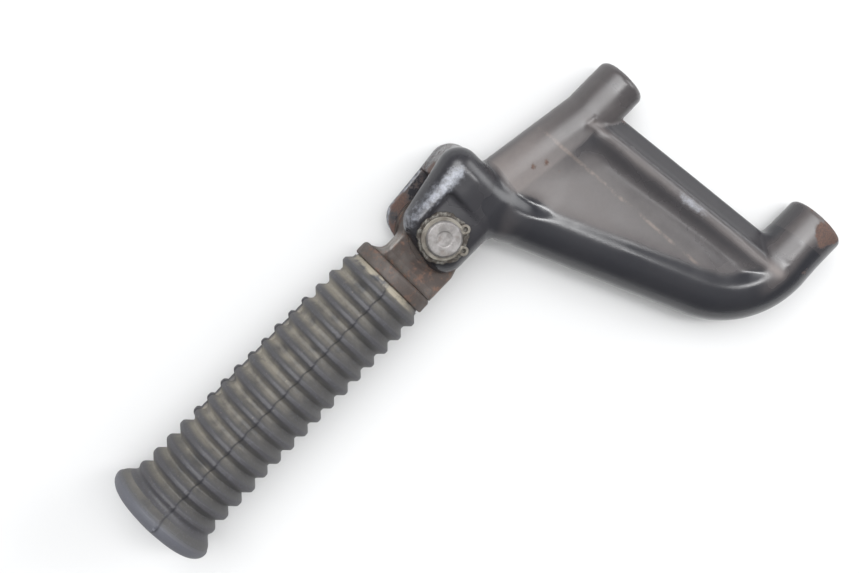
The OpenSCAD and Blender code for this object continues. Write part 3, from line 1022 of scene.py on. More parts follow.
@dataclass(frozen=True)
class DustyRubber(Finish):
    """Aged black rubber: grey rubbed crests, beige road dust in the valleys, and a painted shadow beside the
    mould seam.
    """

    rubber: Colour = srgb(68, 67, 67)
    crest: Colour = srgb(64, 63, 66)
    dust: Colour = srgb(139, 133, 121)
    hazy: Colour = srgb(99, 101, 109)
    # Dark rubber for the tread caps, and the colour of the painted shadow beside the mould seam.
    fresh_and_shadow: Colour = srgb(36, 36, 42)
    bleached: Colour = srgb(150, 142, 126)
    specks: Colour = srgb(170, 160, 140)
    fine: Grain = Grain(0.9, 4, 0.65)
    patches: Grain = Grain(7, 4, 0.6)
    streaks: Grain = Grain(1.6, 4, 0.62)
    streak_stretch: Triple = (2.2, 0.5, 0.5)
    speckles: Grain = Grain(1.6, 4, 0.72)
    crest_ramp: Ramp = (0.02, 0.22)
    haze_ramp: Ramp = (0.5, 0.75)
    haze_cover: float = 0.35
    valley_ramp: Ramp = (0.08, 0.8)
    patch_ramp: Ramp = (0.28, 0.62)
    streak_cover: Pair = (0.3, 0.8)
    speck_ramp: Ramp = (0.62, 0.76)
    speck_least: float = 0.2
    speck_cover: float = 0.45
    # How dark the painted shadow beside the mould seam is.
    seam_shadow_cover: float = 0.75
    worn_ramp: Ramp = (0.36, 0.52)
    matt: float = 0.56
    dust_matt: float = 0.24
    fine_matt: float = 0.14
    relief: float = 0.06

    def inputs(self, graph: Graph) -> dict[str, Any]:
        """The Principled shader's inputs."""
        place, valley, upper = graph.place(), graph.mark("valley"), graph.mark("upper")
        fine, patches = graph.noise(place, self.fine), graph.noise(place, self.patches)
        streaks = graph.noise(graph.stretched(place, self.streak_stretch), self.streaks)
        least, more = self.streak_cover
        dusty = valley.between(*self.valley_ramp) * patches.between(*self.patch_ramp)
        dusty = dusty * (least + more * streaks) * upper
        specks = graph.noise(place, self.speckles).between(*self.speck_ramp)
        specks = specks * (self.speck_least + (1.0 - self.speck_least) * upper)
        colour = graph.blend(1.0 - valley.between(*self.crest_ramp), self.rubber, self.crest)
        colour = graph.blend(self.haze_cover * fine.between(*self.haze_ramp), colour, self.hazy)
        colour = graph.blend(dusty, colour, self.dust)
        colour = graph.blend(graph.mark("haze"), colour, self.hazy)
        colour = graph.blend(self.speck_cover * specks, colour, self.specks)
        colour = graph.blend(graph.mark("fresh_and_shadow"), colour, self.fresh_and_shadow)
        # Painted shadow: a dark line beside each raised mould seam.
        colour = graph.blend(self.seam_shadow_cover * graph.mark("seam"), colour, self.fresh_and_shadow)
        colour = graph.blend(graph.mark("worn") * patches.between(*self.worn_ramp), colour, self.bleached)
        roughness = self.matt + self.dust_matt * dusty + self.fine_matt * (fine - 0.5)
        return {"Base Color": colour, "Roughness": roughness, "IOR": 1.5,
                "Normal": graph.bump(0.6 * fine + 0.4 * streaks, self.relief)}


# The bracket


@dataclass(frozen=True)
class Spot:
    """A place where the paint is damaged, in millimetres."""

    at: Triple
    reach: float
    strength: float = 1.0

    def mark(self, points: Array) -> Array:
        """How strongly it marks some points, from 0 to its strength."""
        away = np.linalg.norm(points - np.array(self.at), axis=1)
        return self.strength * (1 - smooth_step(away / self.reach))


FACING_UP = 0.42
FACING_OUT = 0.9
FACING_EDGE = (0.78, 0.18)


def highlight_side(points: Array, end: Array, radius: float) -> Array:
    """How far a boss's side faces up and a little toward the other boss, the side the key light falls on;
    dust laid there is partly a painted highlight.
    """
    away = (points - end) / radius
    return ramp(FACING_UP * away[:, 1] + FACING_OUT * np.abs(away[:, 2]), *FACING_EDGE)


def rectangle(x0: float, y0: float, x1: float, y1: float) -> list[Pair]:
    """The corners of an upright rectangle, in order."""
    return [(x0, y0), (x1, y0), (x1, y1), (x0, y1)]


@dataclass(frozen=True)
class Yoke:
    """The cast yoke that holds the pin: a round-edged block, slotted for the tongue."""

    places: Places
    rounding: float = 7.2
    front: float = -3.8
    back: float = 19.8
    low: float = -5.2
    top: float = 9.0
    head: float = 10.9
    ear_front: float = -2.4
    ear_top: Pair = (0.2, 6.9)
    top_cut: Pair = (1.6, 6.2)
    low_cut: Pair = (2.6, 1.6)
    ears_blend: float = 1.0
    fall: Triple = (1.9, 6.0, 15.0)
    half: float = 14.0
    past: float = 30.0
    flat_half: float = 12.4
    flat_high: float = 7.4
    flat_back: float = 10.8
    flat_round: float = 1.6
    flat_edge: float = 1.5
    slot_half: float = 6.0
    slot_back: float = 12.0
    slot_round: float = 0.3
    slot_edge: float = 0.9
    hole_r: float = 6.05
    hole_edge: float = 0.5
    bead_w: float = 2.8
    low_bead_w: float = 9.0
    step: float = 0.42
    dust: Pair = (0.05, 0.03)
    bend_reach: float = 0.8
    worn_bend: Ramp = (0.45, 0.8)
    edge_wear: float = 0.5
    # The wear band along the head's top rounding: partly scuffed paint, partly a painted highlight of the key
    # light, in the yoke's pale worn colour.
    scuffed_highlight: Triple = (11.6, 2.7, 0.45)
    highlight_end: Ramp = (24.0, -6.0)
    highlight_rise: float = 14.0
    highlight_gain: Pair = (0.75, 0.4)
    slot_rust: float = 0.42
    spots: tuple[Spot, ...] = (
        Spot((-106, 92, 6), 4.0, 0.7), Spot((-102, 84, 7), 5.0, 0.7), Spot((-84, 111.5, 4), 4.0, 1.0),
        Spot((-90, 109.5, 5), 4.0, 0.6), Spot((-108.5, 92, -8), 7.0, 0.7), Spot((-106.5, 103, -8), 6.0, 0.6),
        Spot((-98, 110, -8), 6.0, 0.5), Spot((-88, 82.6, 8), 5.0, 0.5), Spot((-73, 92, 11), 5.0, 0.45),
        Spot((-72, 102, 9), 4.0, 0.4))

    def slot(self) -> Solid:
        """The room for the tongue."""
        x, y = self.places.pivot[:2]
        outline = rectangle(x - self.past, y - self.past, x + self.slot_back, y + self.past)
        return prism(outline, -self.slot_half, self.slot_half, self.slot_round)

    def block(self) -> Solid:
        """The block without its slot, flats and bore."""
        x, y = self.places.pivot[:2]
        right, front = x + self.back, x + self.front
        bottom, top = y + self.low, y + self.top
        right_side = [(right, bottom), (right, y + self.head)]
        near_side = [(x + self.ear_top[0], y + self.ear_top[1]), (x + self.ear_front, bottom)]
        rear_side = [(front + self.top_cut[0], top), (front, top - self.top_cut[1]),
                     (front, bottom + self.low_cut[1]), (front + self.low_cut[0], bottom)]
        near = prism(right_side + near_side, -self.half, self.half, self.rounding)
        rear = prism(right_side + rear_side, -self.half, -self.slot_half + self.rounding, self.rounding)
        whole = near.join(rear, self.ears_blend)
        deep, start, reach = self.fall

        def distance(p: Array) -> Array:
            """Distance to the block, whose broad faces fall away toward its lower side."""
            fall = deep * ramp(p[:, 1], y + start, -reach)
            return whole(p + (fall * np.sign(p[:, 2]))[:, None] * Z)

        return Solid(distance)

    def casting(self) -> Solid:
        """The whole yoke."""
        x, y = self.places.pivot[:2]
        outline = rectangle(x - self.past, y - self.past, x + self.flat_back, y + self.flat_high)
        solid = self.block().cut(self.slot(), self.slot_edge)
        for z in (self.flat_half, -self.flat_half - self.half):
            solid = solid.cut(prism(outline, z, z + self.half, self.flat_round), self.flat_edge)
        bore = drum(self.places.pivot, 2, self.hole_r, -2 * self.half, 2 * self.half)
        return solid.cut(bore, self.hole_edge)

    def build(self, paint: Material) -> None:
        """Makes the yoke's piece."""
        solid = self.casting()
        x, y = self.places.pivot[:2]
        reach = self.rounding + 1
        low = (x + self.front - reach, y + self.low - reach, -self.half)
        high = (x + self.back + reach, y + self.head + reach, self.half)
        vertices, quads = Mesher(self.step).mesh(solid, low, high)
        bend = curvature(solid, vertices, self.bend_reach)
        normal = gradient(solid, vertices)
        inside = np.abs(vertices[:, 2]) < self.slot_half + self.slot_round
        at, width, strength = self.scuffed_highlight
        least, more = self.highlight_gain
        end, fade = self.highlight_end
        along, up, out = vertices.T
        # Painted highlight: a band along the top rounding of the front face, laid into the wear mark together
        # with the real scuffs.
        highlight_band = bell((up - y - at) / width) * (out > 0)
        highlight_band *= ramp(along, x + end, fade) * (least + more * ramp(along, x, self.highlight_rise))
        marks = {"dust": self.dust[0] + self.dust[1] * np.clip(normal[:, 2], 0, 1),
                 "wear": np.maximum(ramp(bend, *self.worn_bend) * self.edge_wear, strength * highlight_band),
                 "rust": sum(spot.mark(vertices) for spot in self.spots) + self.slot_rust * inside}
        piece = Shape(vertices, quads, marks).piece("yoke_casting", 50)
        finish_piece(piece, paint, Body.BRACKET, Slot.PAINT, "yoke")


@dataclass(frozen=True)
class Shells:
    """The two pressed half shells, welded along their edge and round the yoke."""

    places: Places
    yoke: Yoke
    face_half: float = 8.7
    rim_rise: float = 1.75
    ridge_half: float = 9.6
    ridge_r: float = 4.2
    ridge_sink: Pair = (2.2, 8.0)
    flange_more: float = 3.0
    edge_corner: float = 0.8
    flange_w: float = 8.0
    flange_slope: float = 41.6
    upper_back: float = 12.0
    lower_back: float = 16.3
    lower_run: float = 20.6
    bend_r: float = 27.0
    upper_run: float = 18.0
    foot: Pair = (23.4, -13.0)
    shoulder: Pair = (28.0, -4.4)
    taper: float = 0.6
    skin_over: float = 0.04
    neck: float = 6.0
    foot_more: float = 16.0
    boss_from: float = 12.0
    boss_over: float = 9.0
    dish: Triple = (0.7, 6.5, 4.0)
    rim_fade: Ramp = (5.0, 18.0)
    far_rise: float = 0.35
    far_ramp: Ramp = (16.0, 20.0)
    edge_fade: Ramp = (2.0, 14.0)
    ridge_blend: float = 3.0
    flange_blend: float = 0.6
    crease: Pair = (0.7, 2.3)
    crease_ramp: Ramp = (-27.0, 10.0)
    dent_at: Pair = (29.0, -15.0)
    dent_along: Pair = (0.5, -0.866)
    dent: Triple = (5.0, 3.0, 0.7)
    dent_ramp: Ramp = (3.0, 4.0)
    clear: Pair = (0.03, 0.3)
    step: float = 0.7
    box_from: float = 8.0
    box_low: Pair = (-14.0, -13.0)
    box_high: Triple = (-6.0, 108.0, 13.0)
    bead_step: float = 0.55
    bead_low: Pair = (3.0, -28.0)
    bead_high: Pair = (37.0, 18.0)
    bead_half: float = 14.0
    bead_over: float = 1.2
    bead_end: float = 1.5
    bead_sink: float = 0.015
    bead_mix: float = 0.2
    bead_ramp: Ramp = (-8.0, -11.0)
    base_dust: float = 0.05
    bead_dust: float = 0.06
    face_dust: Pair = (0.13, 0.28)
    face_ramp: Pair = (28.0, 50.0)
    # Dust along the ridge's crest, more toward the lower boss: partly dust, partly the ridge's painted
    # highlight.
    ridge_dust_and_highlight: Pair = (0.40, 0.12)
    ridge_dust_highlight_ramp: Ramp = (40.0, -20.0)
    upper_dust: float = 0.18
    # Dust on the lower boss's lit side: partly dust, partly a painted highlight.
    lower_highlight_dust: float = 0.22
    front_ramp: Ramp = (2.0, 4.0)
    crest_line: Pair = (0.2, 1.7)
    crest_from: Ramp = (-3.0, 6.0)
    crest_to: Ramp = (92.0, -12.0)
    crest_wear: float = 0.6
    scuff: Pair = (41.0, 6.0)
    least_scuff: float = 0.15
    off_rim: Ramp = (0.05, 0.9)
    off_edge: Ramp = (0.4, 4.0)
    near_edge: float = 0.35
    past_edge: Ramp = (-32.0, -26.0)
    valley_w: Triple = (1.5, 9.0, 85.0)
    valley_dust: float = 0.4
    on_edge: Ramp = (1.0, -0.5)
    on_boss: Ramp = (1.6, -1.4)
    boss_ramp: Ramp = (-36.0, 10.0)
    spots: tuple[Spot, ...] = (
        Spot((-62.9, 79.4, 9), 2.6, 0.66), Spot((-59.2, 88.8, 9), 3.4, 0.58),
        Spot((-55.2, 86.3, 9), 3.2, 0.58), Spot((-54.2, 81.2, 9), 2.6, 0.55),
        Spot((-44.2, -4.2, -5), 9.0, 0.75), Spot((-34.7, -0.8, 5), 4.0, 0.55),
        Spot((-26.8, 75.3, 3), 4.0, 0.6), Spot((-24.0, -10.0, -3), 8.0, 0.6),
        Spot((-36.0, 1.5, 10), 3.0, 0.5), Spot((-17.5, -5.0, 9), 5.0, 0.5),
        Spot((-33.0, -13.0, -3), 7.0, 0.6), Spot((-33.8, 0.6, 9), 1.6, 0.6),
        Spot((-31.4, -10.0, 2), 3.0, 0.6), Spot((-24.0, -11.0, 2), 3.5, 0.62),
        Spot((-16.1, -10.5, 3), 3.0, 0.62), Spot((-33.0, -4.4, 8), 2.0, 0.55))

    def point(self, offset: Pair) -> Array:
        """A place given from the pivot."""
        return self.places.pivot + np.array([*offset, 0.0])

    def upper_corner(self) -> Array:
        """Where the upper edge starts to rise to the yoke."""
        return self.places.upper_end - self.upper_run * X

    def bend_centre(self) -> Array:
        """The centre of the lower rim's bend."""
        return self.places.lower_end + np.array([-self.lower_run, self.bend_r, 0.0])

    def bend_end(self) -> float:
        """The angle at which the bend runs into the straight leg."""
        away = (self.point(self.foot) - self.bend_centre())[:2]
        turn = math.atan2(away[1], away[0]) + math.acos(self.bend_r / float(np.linalg.norm(away)))
        return turn - math.tau if turn > 0 else turn

    def bend_line(self, steps: int) -> Array:
        """The lower rim's bend, from its lower end to the straight leg."""
        angles = np.linspace(-math.pi / 2, self.bend_end(), steps + 1)
        return self.bend_centre() + self.bend_r * np.stack([np.cos(angles), np.sin(angles), 0 * angles], 1)

    def lower_rim(self) -> Solid:
        """The round rim from the lower boss to the yoke."""
        line = self.bend_line(1)
        radius = self.places.rim_r
        straight = self.places.lower_end - self.boss_from * X
        foot = self.point(self.foot)
        into_yoke = self.foot_more * (foot - line[-1]) / np.linalg.norm(foot - line[-1])
        leg = capsule(line[-1], foot + into_yoke, radius, radius - self.taper)
        end_r = self.places.lower_r + self.skin_over
        boss = capsule(self.places.lower_end + self.boss_over * X, straight, end_r, end_r)
        taper = capsule(straight, line[0], end_r, radius)
        bend = bow(self.bend_centre(), self.bend_r, -math.pi / 2, self.bend_end(), radius)
        return leg.join(bend).join(taper).join(boss)

    def upper_edge(self) -> Solid:
        """The round edge from the upper boss to the yoke."""
        corner, radius = self.upper_corner(), self.places.upper_r + self.skin_over
        rise = capsule(corner, self.point(self.shoulder), radius, radius + self.taper)
        return capsule(self.places.upper_end + self.boss_over * X, corner, radius, radius).join(rise)

    def ridge_line(self) -> tuple[Array, Array, Array, Array]:
        """The ridge's upper and lower end, the way down along it and the way out to the straight edge."""
        top = self.places.upper_end - (self.upper_back + self.flange_w) * X
        bottom = self.places.lower_end - (self.lower_back + self.flange_w) * X
        along = (bottom - top) / np.linalg.norm(bottom - top)
        return top, bottom, along, np.array([-along[1], along[0], 0.0])

    def slab(self) -> Solid:
        """The flat faces between rims and ridge, dished a little beside the ridge."""
        top, bottom, _, outward = self.ridge_line()
        outline = [self.point(self.shoulder), self.upper_corner(), top, bottom,
                   *self.bend_line(16), self.point(self.foot)]
        corners = np.array(outline)[:, :2]
        corner, shoulder = self.upper_corner(), self.point(self.shoulder)
        edge_r = self.places.upper_r + self.skin_over
        edge = capsule(corner, shoulder, edge_r, edge_r + self.taper)
        rim = self.lower_rim()
        deep, middle, width = self.dish

        def distance(p: Array) -> Array:
            """Distance to the slab, which rises to the lower rim and runs smoothly into the upper edge."""
            from_ridge = np.abs((p - top) @ outward)
            from_rim = rim(p * (X + Y)) + self.places.rim_r
            dish = deep * bell((from_ridge - middle) / width)
            rise = self.rim_rise * (1 - ramp(from_rim, *self.rim_fade))
            far = self.far_rise * ramp(from_ridge, *self.far_ramp)
            height = self.face_half - dish + np.maximum(rise, far)
            run = shoulder - corner
            edge_high = edge_r + self.taper * np.clip((p - corner) @ run / (run @ run), 0, 1)
            from_edge = edge(p * (X + Y)) + edge_high
            height += (edge_high - height) * (1 - ramp(from_edge, *self.edge_fade))
            return np.maximum(outline_distance(p, corners), np.abs(p[:, 2]) - height)

        return Solid(distance)

    def ridge(self) -> Solid:
        """The rounded ridge along the straight edge, on both sides."""
        top, bottom, _, _ = self.ridge_line()
        rise = (self.ridge_half - self.ridge_r) * Z
        near, far = (capsule(top + r, bottom + r, self.ridge_r, self.ridge_r) for r in (-rise, rise))
        return near.join(far)

    def flange(self) -> Solid:
        """The flange that slopes from the ridge to the straight edge."""
        top, bottom, along, outward = self.ridge_line()
        length = float(np.linalg.norm(bottom - top))
        rise = self.ridge_half - self.ridge_r
        slope = math.radians(self.flange_slope)
        height = rise + self.ridge_r / math.cos(slope)
        crown = rise + self.ridge_r * math.cos(slope)
        lean = math.atan2(bottom[0] - top[0], top[1] - bottom[1])
        width = self.flange_w * math.cos(lean) + self.edge_corner

        def distance(p: Array) -> Array:
            """Distance to the flange."""
            out, run, tall = (p - top) @ outward, (p - top) @ along, np.abs(p[:, 2])
            plane = np.maximum((tall - (height - out * math.tan(slope))) * math.cos(slope), tall - crown)
            edge = smooth_min(-plane, width - out, self.edge_corner)
            return np.maximum(np.maximum(-edge, -out), np.maximum(-run - self.flange_more, run - length))

        return Solid(distance)

    def sunk(self, solid: Solid) -> Solid:
        """The ridge, lowered a little toward the upper boss."""
        top, _, along, _ = self.ridge_line()
        deep, reach = self.ridge_sink

        def distance(p: Array) -> Array:
            """Distance to the lowered solid."""
            sink = deep * (1 - smooth_step((p - top) @ along / reach))
            return solid(p + (sink * np.sign(p[:, 2]))[:, None] * Z)

        return Solid(distance)

    def skin(self) -> Solid:
        """The outer surface of both shells together, with its bosses."""
        face, bars = self.slab(), self.sunk(self.ridge()).join(self.flange(), self.flange_blend)
        upper, lower = self.upper_edge(), self.lower_rim()
        centre = self.point(self.dent_at)
        u, v = self.dent_along
        tight, more = self.crease
        long, wide, deep = self.dent

        def distance(p: Array) -> Array:
            """Distance to the skin, whose creases are tight at the lower rim and at the upper boss."""
            both = np.minimum(smooth_min(face(p), bars(p), self.ridge_blend), upper(p))
            joined = smooth_min(both, lower(p), tight + more * ramp(p[:, 0], *self.crease_ramp))
            away = p - centre
            lengthwise, crosswise = away @ np.array([u, v, 0.0]) / long, away @ np.array([-v, u, 0.0]) / wide
            dent = np.exp(-lengthwise**2 - crosswise**2)
            return joined + deep * dent * ramp(p[:, 2], *self.dent_ramp)

        return Solid(distance)

    def marks(self, vertices: Array) -> dict[str, Array]:
        """What the paint needs to know.

        Args:
            vertices: The skin's vertices.

        Returns:
            The values of dust, wear and rust; the dust along the ridge's crest and on the lower boss's lit
            side is partly a painted highlight.
        """
        _, bottom, along, outward = self.ridge_line()
        run, out = (vertices - bottom) @ -along, (vertices - bottom) @ outward
        x, edge = vertices[:, 0], self.upper_edge()(vertices)
        at, width = self.crest_line
        front = ramp(np.abs(vertices[:, 2]), *self.front_ramp)
        crest = bell((out - at) / width) * ramp(run, *self.crest_from) * ramp(run, *self.crest_to) * front
        off_edge = self.near_edge + (1 - self.near_edge) * ramp(edge, *self.off_edge)
        off_edge = np.maximum(off_edge, ramp(x, *self.past_edge))
        least, more, length = self.valley_w
        off_ridge = ramp(-out, least, least + more * np.clip(run / length, 0, 1))
        face = ramp(self.lower_rim()(vertices), *self.off_rim) * off_edge
        face *= (self.valley_dust + (1 - self.valley_dust) * off_ridge) * front
        scuffed = self.least_scuff + (1 - self.least_scuff) * bell((run - self.scuff[0]) / self.scuff[1])
        start, reach = self.face_ramp
        least, more = self.face_dust
        on_face = least + more * np.clip((-x - start) / reach, 0, 1)
        least, more = self.ridge_dust_and_highlight
        crest_dust_and_highlight = least + more * ramp(run, *self.ridge_dust_highlight_ramp)
        boss, radius = self.places.lower_end, self.places.lower_r
        off_boss = np.abs(np.linalg.norm((vertices - boss) * (Y + Z), axis=1) - radius)
        on_lower = ramp(x, *self.boss_ramp) * ramp(off_boss, *self.on_boss)
        dust = self.base_dust + self.upper_dust * ramp(np.abs(edge), *self.on_edge)
        # On the lower boss's lit side the dust also paints its highlight.
        dust += self.lower_highlight_dust * highlight_side(vertices, boss, radius) * on_lower
        # Along the crest the dust also paints the ridge's highlight.
        return {"dust": dust + on_face * face + crest * (1 - face) * crest_dust_and_highlight,
                "wear": self.crest_wear * crest * scuffed,
                "rust": sum(spot.mark(vertices) for spot in self.spots)}

    def build(self, paint: Material) -> None:
        """Makes the two shells and the weld bead round the yoke."""
        block = self.yoke.block()
        skin = self.skin()
        round_block, round_slot = self.clear
        slot = self.yoke.slot().grown(round_slot)
        solid = skin.cut(block.grown(round_block)).cut(slot)
        low = np.array([self.places.pivot[0] + self.box_from, *self.box_low])
        high = np.array(self.box_high)
        vertices, quads = Mesher(self.step).mesh(solid, low, high)
        marks = self.marks(vertices)
        cut_at = self.places.lower_end - (self.lower_back - self.neck) * X
        outward = self.ridge_line()[-1]
        for name, node, up in (("front_shell_skin", "front_shell", -1), ("rear_shell_skin", "rear_shell", 1)):
            piece = Shape(vertices, quads, marks).piece(name)
            sliced(piece, cut_at, outward)
            sliced(piece, (0, 0, 0), (0, 0, up))
            finish_piece(piece, paint, Body.BRACKET, Slot.PAINT, node)
        self.bead(paint, skin, slot)

    def bead(self, paint: Material, skin: Solid, slot: Solid) -> None:
        """Makes the weld bead that follows the line where the shells meet the yoke.

        Args:
            paint: The enamel.
            skin: The shells' surface.
            slot: What the bead keeps out of.
        """
        casting, block, wide = self.yoke.casting(), self.yoke.block(), self.yoke.bead_w
        start, reach = self.bead_ramp

        def below(p: Array) -> Array:
            """1 under the lower rim's line, 0 beside the face."""
            return ramp(p[:, 1], self.places.pivot[1] + start, reach)

        def fillet(p: Array) -> Array:
            """Distance to the fillet, which is widest at its lower end."""
            width = wide + (self.yoke.low_bead_w - wide) * below(p)
            return smooth_min(skin(p), casting(p), width) + self.bead_sink

        low = self.point(self.bead_low) - self.bead_half * Z
        high = self.point(self.bead_high) + self.bead_half * Z
        middle, half = (low[0] + high[0]) / 2, (high[0] - low[0]) / 2 - self.bead_end

        def distance(p: Array) -> Array:
            """Distance to the bead, which lies on the yoke and ends short of the box."""
            ends = np.abs(p[:, 0] - middle) - half
            return np.maximum(fillet(p), np.maximum(ends, -block(p) - self.bead_over))

        vertices, quads = Mesher(self.bead_step).mesh(Solid(distance).cut(slot, self.clear[1]), low, high)
        near_skin = smooth_step(self.bead_mix + (casting(vertices) - skin(vertices)) / (2 * wide))
        near_skin *= 1 - below(vertices)
        on_skin = self.marks(vertices)
        marks = {"dust": self.bead_dust + (on_skin["dust"] - self.bead_dust) * near_skin,
                 "wear": np.zeros(len(vertices)), "rust": on_skin["rust"] * near_skin}
        piece = Shape(vertices, quads, marks).piece("yoke_weld_bead", 60)
        finish_piece(piece, paint, Body.BRACKET, Slot.PAINT, "yoke_weld")


@dataclass(frozen=True)
class Boss:
    """A turned boss with a threaded hole, which the shells are welded round."""

    places: Places
    node: str
    end: Array
    radius: float
    length: float
    rust: float
    dust: float
    spots: tuple[Spot, ...] = ()
    # Extra dust on the side the key light falls on: partly dust, partly a painted highlight.
    dusty: float = 0.0
    rounding: float = 1.9
    hole_r: float = 4.4
    hole_depth: float = 24.0
    drill_slope: float = 0.55
    mouth: float = 0.9
    mouth_round: float = 0.3
    thread_pitch: float = 1.25
    thread_depth: float = 0.55
    thread_fit: float = 0.05
    thread_points: int = 6
    steps: int = 72
    end_rust: Ramp = (-1.5, 4.5)

    def build(self, paint: Material) -> None:
        """Makes the boss."""
        tip = self.hole_depth + self.hole_r * self.drill_slope
        outer = rounded([(0, self.length, 0), (self.radius, self.length, 0), (self.radius, 0, self.rounding),
                         (self.hole_r + self.mouth, 0, self.mouth_round), (self.hole_r, self.mouth, 0),
                         (self.hole_r, self.hole_depth, 0), (0, tip, 0)], False)
        profile = refined(outer, self.thread_pitch / self.thread_points)

        def warp(radius: Array, angle: Array, along: Array) -> Array:
            """Cuts the thread."""
            turns = along / self.thread_pitch
            wave = np.abs((turns - angle / math.tau) % 1 * 2 - 1)
            inside = (np.abs(radius - self.hole_r) < self.thread_fit) & (along < self.hole_depth - 1)
            return radius - inside * self.thread_depth * (1 - wave) * np.clip(turns, 0, 1)

        lathe = Lathe(Axis(self.end, -X, Z), even_angles(self.steps))
        shape = lathe.turn(profile, False, warp)
        near = np.linalg.norm(shape.vertices - self.end, axis=1)
        rough = self.rust * (1 - ramp(near - self.radius, *self.end_rust))
        # The extra dust on the lit side is partly a painted highlight.
        shape.marks = {"dust": self.dust + self.dusty * highlight_side(shape.vertices, self.end, self.radius),
                       "wear": 0 * near,
                       "rust": rough + sum(spot.mark(shape.vertices) for spot in self.spots)}
        piece = shape.piece(f"{self.node}_turned")
        finish_piece(piece, paint, Body.BRACKET, Slot.PAINT, self.node)


# The pin and its fittings


@dataclass(frozen=True)
class PivotSet:
    """The pivot pin, its washer and its circlip."""

    places: Places
    pin_r: float = 6.0
    groove: float = 0.5
    chamfer: float = 0.5
    centre_r: float = 2.4
    centre_deep: float = 0.1
    centre_slope: float = 0.4
    play: float = 0.05
    washer_play: float = 0.06
    steps: int = 96
    profile_step: float = 0.8
    rim_steps: int = 180
    rim_profile_step: float = 0.3
    eaten: float = 0.3
    least_eaten: float = 0.25
    rim_waves: tuple[Triple, ...] = ((0.22, 5, 0.7), (0.16, 11, 0.0), (0.12, 23, 2.0))
    clip_w: float = 1.9
    clip_shift: float = 0.25
    clip_round: float = 0.15
    clip_edge: float = 0.2
    clip_turn: float = -50.0
    clip_gap: float = 15.0
    clip_step: float = 0.13
    lug_angle: float = 27.0
    lug_out: float = 0.2
    lug_r: float = 1.7
    lug_blend: float = 0.6
    lug_hole_r: float = 0.75

    def build(self, steel: Material, plate: Material, spring: Material) -> None:
        """Makes the three pieces."""
        self.pin(steel)
        self.washer(plate)
        self.circlip(spring)

    def pin(self, steel: Material) -> None:
        """Turns the pin: a flanged head below, a grooved and chamfered end above."""
        low, high = box_mm("pivot_pin")
        clip_low, clip_high = (corner[2] for corner in box_mm("circlip"))
        head_r = (high[0] - low[0]) / 2
        head_top = -box_mm("pin_washer")[0][2]
        neck = self.pin_r - self.groove
        top = high[2]
        profile = rounded([
            (0, low[2], 0), (head_r, low[2], 1.0), (head_r, head_top, 0.4), (self.pin_r, head_top, 0),
            (self.pin_r, clip_low - self.play, 0), (neck, clip_low - self.play, 0),
            (neck, clip_high + self.play, 0), (self.pin_r, clip_high + self.play, 0),
            (self.pin_r, top - self.chamfer, 0.35), (self.pin_r - 1.1 * self.chamfer, top, 0.5),
            (self.centre_r + self.centre_slope, top, 0.3), (self.centre_r, top - self.centre_deep, 0.2),
            (0, top - self.centre_deep, 0)], False)
        lathe = Lathe(Axis(self.places.pivot * (X + Y), Z, X), even_angles(self.steps))
        shape = lathe.turn(refined(profile, self.profile_step), False)
        finish_piece(shape.piece("pivot_pin_turned"), steel, Body.BRACKET, Slot.PIN, "pivot_pin")

    def washer(self, plate: Material) -> None:
        """Makes the washer, eaten a little round its rim."""
        low, high = box_mm("pin_washer")
        outer, bore = (high[0] - low[0]) / 2, self.pin_r + self.washer_play
        profile = rounded([(outer, low[2], 0.3), (outer, high[2], 0.4), (bore, high[2], 0.25),
                           (bore, low[2], 0.1)], True, 4)
        profile = refined(np.concatenate([profile, profile[:1]]), self.rim_profile_step)[:-1]

        def warp(radius: Array, angle: Array, along: Array) -> Array:
            """Eats the rim away unevenly."""
            share = ramp(radius, self.pin_r, outer - self.pin_r)
            uneven = np.maximum(ripple(angle, *self.rim_waves), -self.least_eaten)
            return radius - share * (self.eaten + uneven)

        lathe = Lathe(Axis(self.places.pivot * (X + Y), Z, X), even_angles(self.rim_steps))
        finish_piece(lathe.turn(profile, True, warp).piece("pin_washer_worn"), plate,
                     Body.BRACKET, Slot.PLATED, "pin_washer")

    def circlip(self, spring: Material) -> None:
        """Makes the circlip: a tapered ring with two drilled lugs."""
        low, high = box_mm("circlip")
        pivot, bottom, top = self.places.pivot, low[2], high[2]
        inner = self.pin_r - self.groove + self.play
        outer = inner + self.clip_w
        turn = math.radians(self.clip_turn)

        def direction(angle: float) -> Array:
            """A direction in the clip's plane."""
            return np.array([math.cos(angle + turn), math.sin(angle + turn), 0.0])

        centre = pivot + self.clip_shift * direction(math.pi)
        clip = drum(centre, 2, outer - self.clip_shift, bottom, top, self.clip_round)
        lugs = [pivot + (outer + self.lug_out) * direction(side * math.radians(self.lug_angle))
                for side in (-1, 1)]
        for lug in lugs:
            clip = clip.join(drum(lug, 2, self.lug_r, bottom, top, self.clip_round), self.lug_blend)
        clip = clip.cut(drum(pivot, 2, inner, bottom - 1, top + 1), self.clip_edge)
        gap, reach = math.radians(self.clip_gap), 2 * outer
        wedge = [pivot, pivot + reach * direction(-gap), pivot + reach * direction(gap)]
        clip = clip.cut(prism(wedge, bottom - 1, top + 1, 0.01), self.clip_edge)
        for lug in lugs:
            clip = clip.cut(drum(lug, 2, self.lug_hole_r, bottom - 1, top + 1), self.clip_round)
        room = 0.5 * (X + Y)
        vertices, quads = Mesher(self.clip_step).mesh(clip, low - room, high + room)
        finish_piece(Shape(vertices, quads, {}).piece("circlip_sprung", 45), spring,
                     Body.BRACKET, Slot.PLATED, "circlip")


# The peg


